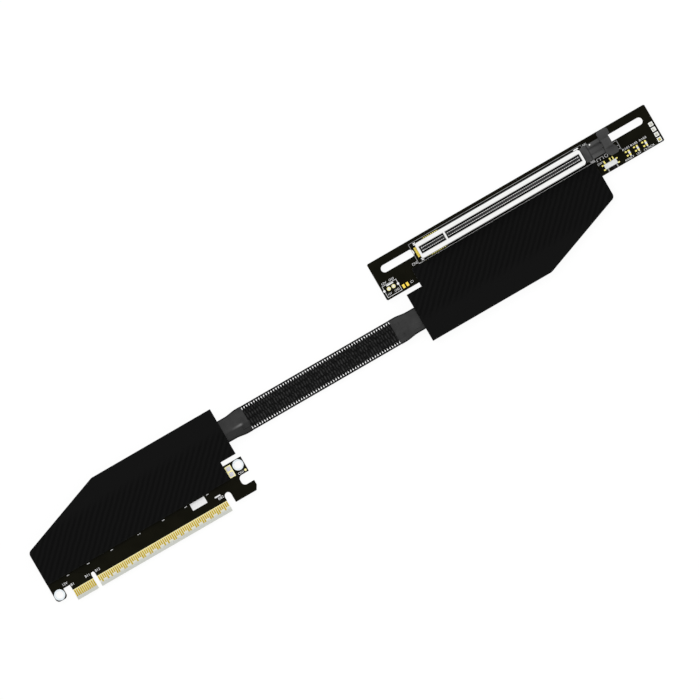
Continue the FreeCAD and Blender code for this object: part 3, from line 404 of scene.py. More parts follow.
class Finish:
    """A material whose nodes read a piece's own coordinates."""

    def __init__(self, name, roughness, metallic=0.0, specular=0.5):
        self.material = bpy.data.materials.new(name)
        self.material.use_nodes = True
        self.tree = self.material.node_tree
        self.roughness = roughness
        self.shader = self.tree.nodes["Principled BSDF"]
        self.shader.inputs["Roughness"].default_value = roughness
        self.shader.inputs["Metallic"].default_value = metallic
        self.shader.inputs["Specular IOR Level"].default_value = specular
        self.place = self.add("ShaderNodeTexCoord").outputs["Object"]
        self.x, self.y, self.z = self.add("ShaderNodeSeparateXYZ", {0: self.place}).outputs

    def set(self, socket, value):
        """Joins a socket to another one, or gives it a value."""
        if isinstance(value, bpy.types.NodeSocket):
            self.tree.links.new(value, socket)
        else:
            socket.default_value = value

    def add(self, kind, inputs=None, **settings):
        """A node with its settings and inputs."""
        made = self.tree.nodes.new(kind)
        for key, value in settings.items():
            setattr(made, key, value)
        for key, value in (inputs or {}).items():
            self.set(made.inputs[key], value)
        return made

    def math(self, operation, first, second=0.0):
        """Result of one operation on two values."""
        return self.add("ShaderNodeMath", {0: first, 1: second}, operation=operation).outputs[0]

    def share(self, value, low, high, to_low=0.0, to_high=1.0):
        """Where a value lies between two ends, kept between two results."""
        inputs = {"Value": value, "From Min": low, "From Max": high, "To Min": to_low, "To Max": to_high}
        return self.add("ShaderNodeMapRange", inputs).outputs["Result"]

    def grain(self, size, detail=2.0):
        """Cloudy values around a half, their size in millimetres."""
        inputs = {"Vector": self.place, "Scale": 1 / (size * MM), "Detail": detail}
        return self.add("ShaderNodeTexNoise", inputs).outputs["Fac"]

    def clouds(self, size, spread=CLOUD_SPREAD):
        """Clouds from 0 to 1, their size in millimetres."""
        return self.share(self.grain(size, CLOUD_DETAIL), *spread)

    def distance(self, coordinate, place):
        """Distance of a coordinate from a place given in millimetres."""
        return self.math("ABSOLUTE", self.math("SUBTRACT", coordinate, place * MM))

    def facing(self, axis):
        """How far the surface faces along an axis."""
        normal = self.add("ShaderNodeNewGeometry").outputs["Normal"]
        return self.add("ShaderNodeSeparateXYZ", {0: normal}).outputs[axis]

    def ridges(self, direction, pitch, wobble=0.0, wobble_size=5.0):
        """Even waves from 0 to 1 along a direction, with their pitch in millimetres."""
        inputs = {0: self.place, 1: Vector(direction).normalized()}
        along = self.add("ShaderNodeVectorMath", inputs, operation="DOT_PRODUCT").outputs["Value"]
        phase = self.math("MULTIPLY", along, 2 * math.pi / (pitch * MM))
        phase = self.math("ADD", phase, self.math("MULTIPLY", self.grain(wobble_size), wobble))
        return self.share(self.math("SINE", phase), -1.0, 1.0)

    def blend(self, factor, first, second):
        """Colour between two colours."""
        mix = self.add("ShaderNodeMix", data_type="RGBA")
        self.set(mix.inputs[MIX_FACTOR], factor)
        self.set(mix.inputs[MIX_FIRST], first)
        self.set(mix.inputs[MIX_SECOND], second)
        return mix.outputs[MIX_RESULT]

    def cloth(self, weight, roughness):
        """Gives a soft sheen at grazing angles."""
        self.shader.inputs["Sheen Weight"].default_value = weight
        self.shader.inputs["Sheen Roughness"].default_value = roughness

    def paint(self, value):
        """Sets the base colour."""
        self.set(self.shader.inputs["Base Color"], value)

    def rough(self, factor, smoother, rougher):
        """Lets the roughness vary to both sides of its own value."""
        low = self.roughness - smoother
        high = self.roughness + rougher
        self.set(self.shader.inputs["Roughness"], self.share(factor, 0.0, 1.0, low, high))

    def relief(self, *layers):
        """Bump from pairs of a height between 0 and 1 and its size in millimetres."""
        normal = None
        for height, size in layers:
            bump = self.add("ShaderNodeBump", {"Height": height, "Distance": size * MM, "Strength": 1.0})
            if normal:
                self.set(bump.inputs["Normal"], normal)
            normal = bump.outputs["Normal"]
        self.set(self.shader.inputs["Normal"], normal)


def solder_mask(name, tongue=None):
    """Near-black board with pale cut edges; tongue is the bare end's left, right and upper limit."""
    finish = Finish(name, roughness=0.42, specular=0.05)
    cloud = finish.grain(MASK_CLOUD, MASK_DETAIL)
    mask = finish.blend(finish.share(cloud, *MASK_SPREAD), colour(10, 9, 2), colour(16, 15, 6))
    fibres = finish.grain(LAMINATE_GRAIN, CLOUD_DETAIL)
    laminate = finish.blend(fibres, colour(206, 208, 200), colour(220, 222, 214))
    bare = finish.math("LESS_THAN", finish.math("ABSOLUTE", finish.facing("Z")), LEVEL_LIMIT)
    if tongue:
        left, right, top = tongue
        right_of = finish.math("GREATER_THAN", finish.x, left * MM)
        left_of = finish.math("LESS_THAN", finish.x, right * MM)
        below = finish.math("LESS_THAN", finish.y, top * MM)
        zone = finish.math("MULTIPLY", below, finish.math("MULTIPLY", right_of, left_of))
        bare = finish.math("MAXIMUM", bare, zone)
        between = finish.share(finish.y, (top - FINGER_FADE) * MM, (top - FINGER_LONG) * MM, 1.0, 0.0)
        laminate = finish.blend(between, laminate, colour(252, 250, 228))
    finish.paint(finish.blend(bare, mask, laminate))
    finish.rough(cloud, *PLASTIC_VARIES)
    pits = finish.grain(MASK_GRAIN, CLOUD_DETAIL)
    traces = finish.ridges(TRACE_DIRECTION, TRACE_PITCH, *TRACE_WOBBLE)
    finish.relief((pits, MASK_RELIEF), (traces, TRACE_HEIGHT))
    return finish.material


def plate(finish, relief=METAL_RELIEF):
    """Gives metal its smears and fine relief."""
    finish.rough(finish.grain(METAL_SMEAR), *METAL_VARIES)
    finish.relief((finish.grain(METAL_GRAIN), relief))
    return finish.material


def mould(finish, texture):
    """Gives plastic its smears and spark texture."""
    finish.rough(finish.grain(PLASTIC_SMEAR), *PLASTIC_VARIES)
    finish.relief((finish.grain(PLASTIC_GRAIN), texture))
    return finish.material


def metal(name, dark, light, roughness, relief=METAL_RELIEF):
    """Plated metal with faint clouding."""
    finish = Finish(name, roughness, metallic=1.0)
    finish.paint(finish.blend(finish.clouds(METAL_CLOUD), dark, light))
    return plate(finish, relief)


def finger_plate():
    """Gold plate with a painted highlight along the fingers' upper ends."""
    finish = Finish("finger_finish", roughness=0.3, metallic=1.0)
    gold = finish.blend(finish.clouds(METAL_CLOUD), colour(188, 158, 22), colour(203, 178, 46))
    # Painted highlight: the gold turns pale towards the fingers' upper ends
    top = finish.share(finish.y, (finger_high.y - FINGER_HIGHLIGHT) * MM, finger_high.y * MM)
    finish.paint(finish.blend(top, gold, colour(255, 244, 170)))
    return plate(finish)


def contact_plate():
    """Plated springs with painted shade darkening them below their tips, gilt on the short side's feet
    outside the housing.
    """
    finish = Finish("contact_finish", roughness=0.4, metallic=1.0)
    off_axis = finish.distance(finish.y, slot_axis)
    outside = finish.math("GREATER_THAN", off_axis, (housing_half - FOOT_TUCK) * MM)
    power = finish.math("LESS_THAN", finish.x, slot_key * MM)
    cloud = finish.clouds(METAL_CLOUD)
    # Painted shade: the springs darken from bright metal to near-black further below their tips
    below_tip = finish.math("SUBTRACT", far_high.z * MM, finish.z)
    spring_shade = finish.share(below_tip, *[depth * MM for depth in SPRING_SHADE_DEPTHS])
    bright = finish.blend(spring_shade, finish.blend(cloud, grey(232), grey(250)), grey(30))
    gilt = finish.blend(cloud, colour(250, 236, 96), colour(255, 248, 150))
    finish.paint(finish.blend(finish.math("MULTIPLY", outside, power), bright, gilt))
    return plate(finish)


def end_pads():
    """Mottled solder, with bare gilt on the land nearest the board's edge."""
    finish = Finish("end_solder_finish", roughness=0.42, metallic=1.0)
    cloud = finish.clouds(PAD_CLOUD, PAD_SPREAD)
    dull = finish.blend(cloud, colour(176, 177, 162), colour(232, 233, 226))
    gilt = finish.blend(cloud, colour(168, 158, 56), colour(214, 206, 132))
    last = finish.math("LESS_THAN", finish.y, last_land_end * MM)
    finish.paint(finish.blend(last, dull, gilt))
    finish.rough(cloud, *METAL_VARIES)
    finish.relief((finish.grain(PAD_GRAIN, CLOUD_DETAIL), PAD_RELIEF))
    return finish.material


def cover_cloth(name, towards, end):
    """Black woven facing, with twill lines drawn as painted shade in their grooves and as relief, on the
    board's side of a soft edge at Y = end.
    """
    finish = Finish(name, roughness=0.75, specular=0.03)
    finish.cloth(COVER_SHEEN, SHEEN_ROUGHNESS)
    lines = finish.ridges((1, -1, 0), TWILL_PITCH, *TWILL_WOBBLE)
    along = finish.ridges((1, 0, 0), THREAD_PITCH, *THREAD_WOBBLE)
    across = finish.ridges((0, 1, 0), THREAD_PITCH, *THREAD_WOBBLE)
    threads = finish.math("MULTIPLY", along, across)
    past_end = finish.math("MULTIPLY", finish.math("SUBTRACT", finish.y, end * MM), towards)
    zone = finish.share(past_end, -TWILL_FADE * MM, TWILL_FADE * MM)
    # Painted shade: the twill's grooves are darker than its ridges
    shade = finish.math("MULTIPLY", finish.math("SUBTRACT", 1.0, lines), zone)
    finish.paint(finish.blend(shade, grey(18), grey(12)))
    finish.rough(threads, *SOFT_VARIES)
    finish.relief((threads, THREAD_HEIGHT), (finish.math("MULTIPLY", lines, zone), TWILL_HEIGHT))
    return finish.material


def heat_shrink(name, fold_x=None):
    """Grey shrink tube with draw lines and painted shade on faces that turn sideways; with fold_x it also
    gets painted shade below a fold and a painted highlight along it, and fold_x is where the highlight
    starts, is brightest and ends.
    """
    finish = Finish(name, roughness=0.45, specular=0.06)
    cloud = finish.clouds(SHRINK_CLOUD)
    tone = finish.blend(cloud, grey(53), grey(62))
    if fold_x:
        start, full, end = [x * MM for x in fold_x]
        # Painted shade: the tube turns darker below the fold, where its surface slopes away from the light
        off_fold = finish.math("SUBTRACT", finish.y, FOLD_Y * MM)
        below = finish.share(off_fold, 0.0, -FOLD_WIDTH * MM)
        tone = finish.blend(below, tone, finish.blend(cloud, grey(45), grey(52)))
        # Painted highlight: a pale streak along the fold's crest
        band = finish.share(finish.math("ABSOLUTE", off_fold), HIGHLIGHT_WIDTH * MM, 0.0)
        rising = finish.share(finish.x, start, full)
        falling = finish.share(finish.x, end, full)
        painted_highlight = finish.math("MULTIPLY", band, finish.math("MULTIPLY", rising, falling))
        tone = finish.blend(finish.math("POWER", painted_highlight, HIGHLIGHT_SHARPNESS), tone, grey(130))
    # Painted shade: faces that turn sideways darken to near-black
    sideways = finish.math("ABSOLUTE", finish.facing("Y"))
    finish.paint(finish.blend(finish.share(sideways, *SHRINK_SIDE_SHADE), tone, grey(12)))
    finish.rough(finish.grain(SHRINK_SMEAR), *SOFT_VARIES)
    draw_lines = finish.ridges(DRAW_DIRECTION, DRAW_PITCH, *DRAW_WOBBLE)
    finish.relief((finish.grain(SHRINK_GRAIN), SHRINK_RELIEF), (draw_lines, DRAW_HEIGHT))
    return finish.material


def braid():
    """Dark monofilament strands with a fine twist, and a painted highlight in patches on the ribs' crests.
    """
    finish = Finish("braid_finish", roughness=0.6, specular=0.05)
    finish.cloth(BRAID_SHEEN, SHEEN_ROUGHNESS)
    cloud = finish.grain(BRAID_CLOUD, CLOUD_DETAIL)
    height = finish.distance(finish.z, mid_z)
    # Painted highlight: the ribs' crests turn lighter in patches
    crest_highlight = finish.share(height, (sleeve_half_height - RIB_HEIGHT) * MM, sleeve_half_height * MM)
    patches = finish.share(finish.grain(PATCH_SIZE), *PATCH_SPREAD, PATCH_LOW)
    finish.paint(finish.blend(finish.math("MULTIPLY", crest_highlight, patches), grey(10), grey(55)))
    finish.rough(cloud, *BRAID_VARIES)
    finish.relief((finish.ridges(STRAND_DIRECTION, STRAND_PITCH, *STRAND_WOBBLE), STRAND_HEIGHT))
    return finish.material


def plastic(name, dark, light, roughness, specular, texture):
    """Moulded plastic with a fine spark texture."""
    finish = Finish(name, roughness, specular=specular)
    finish.paint(finish.blend(finish.clouds(PLASTIC_CLOUD), dark, light))
    return mould(finish, texture)


def housing_plastic():
    """White moulded plastic, with painted shade along its rounded upper edges and painted shade down inside
    the slot, paler near the slot's axis and darker towards its walls.
    """
    roughness, specular, texture = HOUSING_SURFACE
    finish = Finish("housing_finish", roughness, specular=specular)
    white = finish.blend(finish.clouds(PLASTIC_CLOUD), colour(246, 246, 245), colour(252, 252, 251))
    off_axis = finish.distance(finish.y, slot_axis)
    level = finish.math("GREATER_THAN", finish.facing("Z"), LEVEL_LIMIT)
    on_wall = finish.math("LESS_THAN", off_axis, (housing_half + LOOSE_FIT) * MM)
    # Painted shade: the upper face greys towards the housing's long edges, in place of the rounded edges'
    # shade
    rim = finish.share(off_axis, (housing_half - HOUSING_RIM_SHADE) * MM, housing_half * MM)
    rim = finish.math("MULTIPLY", rim, finish.math("MULTIPLY", level, on_wall))
    white = finish.blend(rim, white, grey(110))
    # Painted shade inside the slot: below the mouth the plastic turns grey, paler near the axis and darker
    # towards the walls
    inside = finish.math("LESS_THAN", off_axis, (SLOT_MOUTH + LOOSE_FIT) * MM)
    depth = finish.math("SUBTRACT", housing_high.z * MM, finish.z)
    depth_shade = finish.share(depth, SLOT_SHADE_TOP * MM, SLOT_SHADE_FULL * MM)
    outward = finish.share(off_axis, SLOT_PALE_SHADE_HALF * MM, SLOT_DEEP_SHADE_HALF * MM)
    shade = finish.blend(outward, grey(142), grey(60))
    finish.paint(finish.blend(finish.math("MULTIPLY", inside, depth_shade), white, shade))
    return mould(finish, texture)


def bracket_body():
    """Grey moulded plastic with a band of painted shade where the bracket's step ends."""
    roughness, specular, texture = LATCH_SURFACE
    finish = Finish("bracket_finish", roughness, specular=specular)
    body = finish.blend(finish.clouds(PLASTIC_CLOUD), grey(77), grey(85))
    # Painted shade: a darker band along the crease at the end of the step
    from_step = finish.distance(finish.x, bracket_low.x + BRACKET_STEP_LENGTH)
    seam = finish.share(from_step, STEP_SHADE_WIDTH * MM, 0.0)
    finish.paint(finish.blend(seam, body, grey(48)))
    return mould(finish, texture)


def ribbon_jacket():
    """Satin film over the conductors' faint lines."""
    finish = Finish("ribbon_finish", roughness=0.4, specular=0.3)
    lines = finish.ridges((1, 1, 0), RIBBON_PITCH)
    finish.paint(finish.blend(lines, grey(26), grey(40)))
    finish.rough(lines, *SOFT_VARIES)
    finish.relief((lines, RIBBON_RELIEF))
    return finish.material


finger_gold = finger_plate()
bright_gold = metal("terminal_finish", colour(250, 232, 104), colour(255, 248, 160), GOLD_ROUGHNESS)
pale_gold = metal("land_finish", colour(252, 243, 164), colour(255, 250, 200), GOLD_ROUGHNESS)
tab_gold = metal("tab_finish", colour(255, 218, 80), colour(255, 236, 116), GOLD_ROUGHNESS)
cap_gold = metal("cap_finish", colour(255, 238, 112), colour(255, 248, 156), GOLD_ROUGHNESS)
tin = metal("tin_finish", colour(208, 209, 201), colour(228, 229, 223), TIN_ROUGHNESS, SOLDER_RELIEF)
end_tin = metal("end_land_finish", colour(244, 245, 240), colour(252, 253, 250), DULL_ROUGHNESS)
ring_tin = metal("ring_finish", colour(226, 233, 237), colour(240, 247, 250), DULL_ROUGHNESS)
solder = metal("solder_finish", colour(204, 202, 213), colour(220, 218, 226), DULL_ROUGHNESS, SOLDER_RELIEF)
contact_finish = contact_plate()
end_solder = end_pads()
steel = metal("switch_finish", colour(222, 224, 223), colour(238, 240, 238), STEEL_ROUGHNESS)
white_plastic = housing_plastic()
lever_plastic = plastic("lever_finish", grey(66), grey(74), *LATCH_SURFACE)
bracket_plastic = bracket_body()
rib_plastic = plastic("rib_finish", grey(226), grey(240), *HOUSING_SURFACE)
black_plastic = plastic("knob_finish", grey(20), grey(28), *KNOB_SURFACE)
ceramic = plastic("resistor_finish", colour(12, 12, 16), colour(20, 20, 26), *CERAMIC_SURFACE)
lamp_glass = plastic("lamp_finish", colour(226, 226, 236), colour(244, 244, 248), *LAMP_SURFACE)
white_ink = plastic("ink_finish", grey(240), grey(250), *INK_SURFACE)
# Dimmer copy of the white ink: painted shade for print that lies in the light
soft_ink = plastic("soft_ink_finish", grey(150), grey(178), *INK_SURFACE)
edge_highlight_x = [edge_boot_low.x + part * (edge_boot_high.x - edge_boot_low.x) for part in FOLD_HIGHLIGHT_SPAN]
edge_shrink = heat_shrink("edge_shrink_finish", edge_highlight_x)
slot_shrink = heat_shrink("slot_shrink_finish")
braid_finish = braid()
ribbon_finish = ribbon_jacket()
card_tongue = (finger_low.x - CARD_TONGUE_MARGIN, finger_high.x + CARD_TONGUE_MARGIN, finger_high.y)
edge_mask = solder_mask("edge_mask_finish", card_tongue)
slot_mask = solder_mask("slot_mask_finish")
edge_cloth = cover_cloth("edge_cloth_finish", -1.0, EDGE_TWILL_END)
slot_cloth = cover_cloth("slot_cloth_finish", 1.0, SLOT_TWILL_END)

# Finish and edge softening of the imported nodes, by the start of their names
NODE_LOOKS = {
    "edge_board": (edge_mask, 0.06),
    "slot_board": (slot_mask, 0.06),
    "edge_cover": (edge_cloth, 0.3),
    "slot_cover": (slot_cloth, 0.3),
    "edge_fingers": (finger_gold, 0.0),
    "edge_hole_rings": (ring_tin, 0.0),
    "edge_lands": (pale_gold, 0.0),
    "edge_land_solder": (solder, 0.08),
    "slot_housing": (white_plastic, 0.1),
    "slot_contacts": (contact_finish, 0.0),
    "slot_solder_tab": (tab_gold, 0.05),
    "latch_bracket": (bracket_plastic, 0.15),
    "latch_bracket_pin": (end_tin, 0.06),
    "latch_lever": (lever_plastic, 0.2),
    "switch_frame": (steel, 0.12),
    "switch_base": (black_plastic, 0.0),
    "switch_knob": (black_plastic, 0.08),
    "switch_terminals": (bright_gold, 0.03),
    "lamp": (lamp_glass, 0.12),
    "resistor": (ceramic, 0.06),
    "chip_caps": (cap_gold, 0.06),
    "header_rings": (pale_gold, 0.0),
    "capacitor_lands": (tab_gold, 0.0),
    "end_lands": (end_tin, 0.0),
    "end_solder": (end_solder, 0.08),
    "power_ribbon": (ribbon_finish, 0.0),
    "signal_ribbon": (ribbon_finish, 0.0),
    "braided_sleeve": (braid_finish, 0.0),
    "edge_boot": (edge_shrink, 0.0),
    "slot_boot": (slot_shrink, 0.0),
}

MERGED_NODES = ("latch_bracket", "latch_lever", "slot_housing")


def soften(obj, width, merged):
    """Rounds a node's edges; merged flat faces leave more room for it."""
    weld = obj.modifiers.new("weld", "WELD")
    weld.merge_threshold = WELD_DISTANCE * MM
    if merged:
        flat = obj.modifiers.new("flat", "DECIMATE")
        flat.decimate_type = "DISSOLVE"
        flat.angle_limit = math.radians(FLAT_ANGLE)
    bevel = obj.modifiers.new("soft_edges", "BEVEL")
    bevel.width = width * MM
    bevel.segments = SOFT_STEPS
    bevel.limit_method = "ANGLE"
    bevel.angle_limit = math.radians(SOFT_ANGLE)
    bevel.harden_normals = True


def dress(node, obj):
    """Gives a node its finish and soft edges."""
    found = [name for name in NODE_LOOKS if node.startswith(name)]
    finish, softness = NODE_LOOKS[max(found, key=len)]
    obj.data.materials.clear()
    obj.data.materials.append(finish)
    if softness:
        soften(obj, softness, node in MERGED_NODES)


def add_piece(name, shape, finish, smooth=True):
    """Turns a bmesh in millimetres into a piece that rides on the base."""
    bmesh.ops.recalc_face_normals(shape, faces=shape.faces)
    for face in shape.faces:
        face.smooth = smooth
    mesh = bpy.data.meshes.new(name)
    shape.to_mesh(mesh)
    shape.free()
    mesh.transform(Matrix.Scale(MM, 4))
    mesh.materials.append(finish)
    piece = bpy.data.objects.new(name, mesh)
    bpy.context.scene.collection.objects.link(piece)
    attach(piece, "base")
    return piece


def loft(shape, loops, closed=False):
    """Joins loops of equally many points by quads; open ends get a face each."""
    rings = [[shape.verts.new(point) for point in loop] for loop in loops]
    count = len(rings[0])
    pairs = list(zip(rings, rings[1:]))
    if closed:
        pairs.append((rings[-1], rings[0]))
    else:
        shape.faces.new(rings[0])
        shape.faces.new(list(reversed(rings[-1])))
    for near, far in pairs:
        for index in range(count):
            shape.faces.new((near[index - 1], near[index], far[index], far[index - 1]))


def slab(shape, x, y, z):
    """Adds a block between pairs of limits."""
    loft(shape, [[(x[0], y[0], at), (x[1], y[0], at), (x[1], y[1], at), (x[0], y[1], at)] for at in z])


def rounded_loop(half, high, radius, flat_steps=20, corner_steps=6):
    """Points (y, z) round a rounded rectangle, its flats divided."""
    arcs = []
    for index, (side, rise) in enumerate([(1, -1), (1, 1), (-1, 1), (-1, -1)]):
        turns = [(index - 1 + step / corner_steps) * math.pi / 2 for step in range(corner_steps + 1)]
        middle = Vector((side * (half - radius), rise * (high - radius)))
        arcs.append([middle + radius * Vector((math.cos(turn), math.sin(turn))) for turn in turns])
    points = []
    for arc, following in zip(arcs, arcs[1:] + arcs[:1]):
        points += arc
        points += [arc[-1].lerp(following[0], step / flat_steps) for step in range(1, flat_steps)]
    return points


def washer(shape, x, y, inner, outer, z):
    """Adds a flat ring between a pair of heights."""
    loops = []
    for step in range(RING_STEPS):
        turn = 2 * math.pi * step / RING_STEPS
        away = Vector((math.cos(turn), math.sin(turn)))
        rim = [Vector((x, y)) + radius * away for radius in (outer, inner)]
        loops.append([(*rim[0], z[0]), (*rim[1], z[0]), (*rim[1], z[1]), (*rim[0], z[1])])
    loft(shape, loops, closed=True)


def add_rings(name, node, radii, finish):
    """Smooth rings in place of a node's two rings, whose outermost points lie left and right of them."""
    shape = bmesh.new()
    low, high = corners(node)
    points = [vertex.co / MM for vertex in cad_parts[node].data.vertices]
    first = min(points, key=lambda point: point.x)
    last = max(points, key=lambda point: point.x)
    for outermost, inward in ((first, 1), (last, -1)):
        washer(shape, outermost.x + inward * radii[1], outermost.y, *radii, (low.z, high.z))
    piece = add_piece(name, shape, finish, smooth=False)
    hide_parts(node)


def smooth_step(value):
    """Eases from 0 to 1."""
    value = min(max(value, 0.0), 1.0)
    return value * value * (3 - 2 * value)


def bell(distance, width):
    """Bell curve of height 1."""
    return math.exp(-((distance / width) ** 2))


def sleeve_loop(x):
    """Section of the sleeve's core, ribbed in rows that are parted by seams."""
    loop = []
    for y, z in rounded_loop(sleeve_half, sleeve_half_height, SLEEVE_CORNER):
        row = sum(y > seam for seam in SEAMS)
        rib = math.cos(2 * math.pi * ((x - window_start) / window_pitch + row * ROW_SHIFT))
        sink = RIB_HEIGHT * (1 - rib) / 2
        sink += SEAM_DEPTH * max(bell(y - seam, SEAM_WIDTH) for seam in SEAMS)
        loop.append((x, y, mid_z + z - math.copysign(sink, z) * min(1.0, abs(z) / RIB_FADE)))
    return loop


def window_side(index, y, side):
    """X of one side of an oval window in the sleeve's edge."""
    middle = window_start + index * window_pitch
    lean = WINDOW_LEAN if index % 2 else -WINDOW_LEAN
    reach = (y - WINDOW_Y) / WINDOW_HALF_LENGTH
    half = WINDOW_HALF_WIDTH * math.sqrt(max(0.0, 1 - reach * reach))
    return middle + lean * (y - WINDOW_Y) + side * half


def oval(middle, across, half_across, half_high):
    """Points round an upright oval that faces along one of the two level axes."""
    turns = [2 * math.pi * (corner + 0.5) / BAR_SIDES for corner in range(BAR_SIDES)]
    rise = Vector((0, 0, half_high))
    return [middle + across * half_across * math.cos(turn) + rise * math.sin(turn) for turn in turns]


def sleeve_bar(shape, index, side):
    """Bar between two windows, from the core to the rim."""
    loops = []
    tip_y = WINDOW_Y + WINDOW_HALF_LENGTH
    for step in range(BAR_STEPS + 1):
        share = step / BAR_STEPS
        y = BAR_ROOT_Y + (tip_y - BAR_ROOT_Y) * share
        left = window_side(index, y, 1)
        right = window_side(index + 1, y, -1)
        half_high = BAR_ROOT_HALF + (BAR_TIP_HALF - BAR_ROOT_HALF) * share
        middle = Vector(((left + right) / 2, side * y, mid_z))
        loops.append(oval(middle, Vector((1, 0, 0)), (right - left) / 2, half_high))
    loft(shape, loops)


def sleeve_rim(shape, side):
    """Strand outside the windows, slightly scalloped."""
    loops = []
    steps = (WINDOW_COUNT - 1) * RIB_STEPS
    inner = WINDOW_Y + WINDOW_HALF_LENGTH
    for step in range(steps + 1):
        x = sleeve_left + (sleeve_right - sleeve_left) * step / steps
        hollow = (1 + math.cos(2 * math.pi * (x - window_start) / window_pitch)) / 2
        outer = sleeve_high.y - RIM_SCALLOP * hollow
        middle = Vector((x, side * (inner + outer) / 2, mid_z))
        loops.append(oval(middle, Vector((0, side, 0)), (outer - inner) / 2, BAR_TIP_HALF))
    loft(shape, loops)


def add_sleeve():
    """Flat braided sleeve with a row of oval windows along each edge."""
    shape = bmesh.new()
    start = sleeve_left - SLEEVE_TUCK
    end = sleeve_right + SLEEVE_TUCK
    steps = round((end - start) / window_pitch * RIB_STEPS)
    loft(shape, [sleeve_loop(start + (end - start) * step / steps) for step in range(steps + 1)])
    for side in (-1, 1):
        sleeve_rim(shape, side)
        for index in range(WINDOW_COUNT - 1):
            sleeve_bar(shape, index, side)
    piece = add_piece("braided_sleeve_woven", shape, braid_finish)
    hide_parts("braided_sleeve")
    return piece


def boot_loop(x, half, high, fold):
    """Outer section of a boot, sagging on one side of a fold and lightly wrinkled."""
    loop = []
    for y, z in rounded_loop(half, high, BOOT_CORNER):
        outward = smooth_step((abs(z) / high - BOOT_SIDE_PART) / BOOT_SIDE_PART)
        sink = WRINKLE_HEIGHT * (1 - noise.noise(Vector((x, y, z)) / WRINKLE_SIZE))
        if z > 0:
            away = smooth_step((FOLD_Y - y) / (half + FOLD_Y))
            sink += (1 - fold * bell(y - FOLD_Y, FOLD_WIDTH)) * FOLD_HEIGHT + away * BOOT_SAG
        loop.append((x, y, mid_z + z - math.copysign(outward * sink, z)))
    return loop


def inner_loop(x, half, high):
    """Section of a boot's inside."""
    return [(x, y, mid_z + z) for y, z in rounded_loop(half, high, SLEEVE_CORNER)]


def add_boot(name, node, cover_x, mouth_x, fold_strength, finish):
    """Shrink tube drawn in at the cover and flaring over the sleeve's end."""
    low, high = corners(node)
    bore = (sleeve_half - SLEEVE_WALL, sleeve_half_height - SLEEVE_WALL)
    pocket = (sleeve_half + LOOSE_FIT, sleeve_half_height + LOOSE_FIT)
    neck = Vector((BOOT_NECK_WIDTH / 2, bore[1] + BOOT_NECK_WALL))
    mouth = Vector((high.y, (high.z - low.z) / 2))
    length = mouth_x - cover_x
    pocket_end = mouth_x - math.copysign(SLEEVE_TUCK + LOOSE_FIT, length)
    loops = []
    for step in range(BOOT_STEPS + 1):
        share = step / BOOT_STEPS
        flare = smooth_step((share - BOOT_NECK_PART) / (BOOT_FLARE_PART - BOOT_NECK_PART))
        rise = smooth_step((share - FOLD_START) / (FOLD_FULL - FOLD_START))
        fold = fold_strength * rise * smooth_step((FOLD_END - share) / FOLD_FADE)
        in_lip = max(0.0, 1 - (1 - share) * abs(length) / BOOT_LIP)
        inset = BOOT_LIP * (1 - math.sqrt(1 - in_lip * in_lip))
        half, half_height = neck.lerp(mouth, flare)
        loops.append(boot_loop(cover_x + length * share, half - inset, half_height - inset, fold))
    loops.append(inner_loop(mouth_x, *pocket))
    loops.append(inner_loop(pocket_end, *pocket))
    loops.append(inner_loop(pocket_end, *bore))
    loops.append(inner_loop(cover_x, *bore))
    shape = bmesh.new()
    loft(shape, loops, closed=True)
    piece = add_piece(name, shape, finish)
    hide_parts(node)
    return piece


class Printing:
    """Thin raised print on a board's upper face."""

    def __init__(self):
        self.shape = bmesh.new()

    def bar(self, x, y, length, height):
        """Solid rectangle about a point."""
        across = (x - length / 2, x + length / 2)
        upward = (y - height / 2, y + height / 2)
        slab(self.shape, across, upward, (board_top, board_top + INK))

    def outline(self, x, y, line):
        """Frame between pairs of limits."""
        for at in x:
            self.bar(at, (y[0] + y[1]) / 2, line, y[1] - y[0] + line)
        for at in y:
            self.bar((x[0] + x[1]) / 2, at, x[1] - x[0] - line, line)

    def words(self, text, x, y, length, height, weight=LETTER_WEIGHT):
        """Lettering centred on a point and stretched to a length and height."""
        letters = bpy.data.curves.new("letters", "FONT")
        letters.body = text
        letters.resolution_u = LETTER_STEPS
        letters.extrude = LETTER_DEPTH
        letters.offset = weight
        holder = bpy.data.objects.new("letters", letters)
        mesh = bpy.data.meshes.new_from_object(holder)
        low = [min(vertex.co[axis] for vertex in mesh.vertices) for axis in range(3)]
        high = [max(vertex.co[axis] for vertex in mesh.vertices) for axis in range(3)]
        size = [end - start for start, end in zip(low, high)]
        scale = Matrix.Diagonal((length / size[0], height / size[1], INK / size[2], 1.0))
        place = Matrix.Translation((x - length / 2, y - height / 2, board_top))
        mesh.transform(place @ scale @ Matrix.Translation(-Vector(low)))
        self.shape.from_mesh(mesh)
        bpy.data.objects.remove(holder)
        bpy.data.curves.remove(letters)
        bpy.data.meshes.remove(mesh)

    def ring(self, x, y, radius, line):
        """Round outline about a point."""
        washer(self.shape, x, y, radius - line, radius, (board_top, board_top + INK))

    def finish(self, name, ink):
        """The print as a piece."""
        return add_piece(name, self.shape, ink, smooth=False)


def print_edge_board():
    """Lettering and marks between the card edge and the cover."""
    left = edge_low.x
    tip = edge_low.y
    white = Printing()
    for word, (x, y), size in EDGE_WORDS:
        white.words(word, left + x, tip + y, *size)
    for (x, y), size in EDGE_BARS:
        white.bar(left + x, tip + y, *size)
    for x in EDGE_DASHES:
        white.bar(left + x, tip + EDGE_DASH_LIFT, *EDGE_DASH)
    white.finish("edge_board_printing", white_ink)


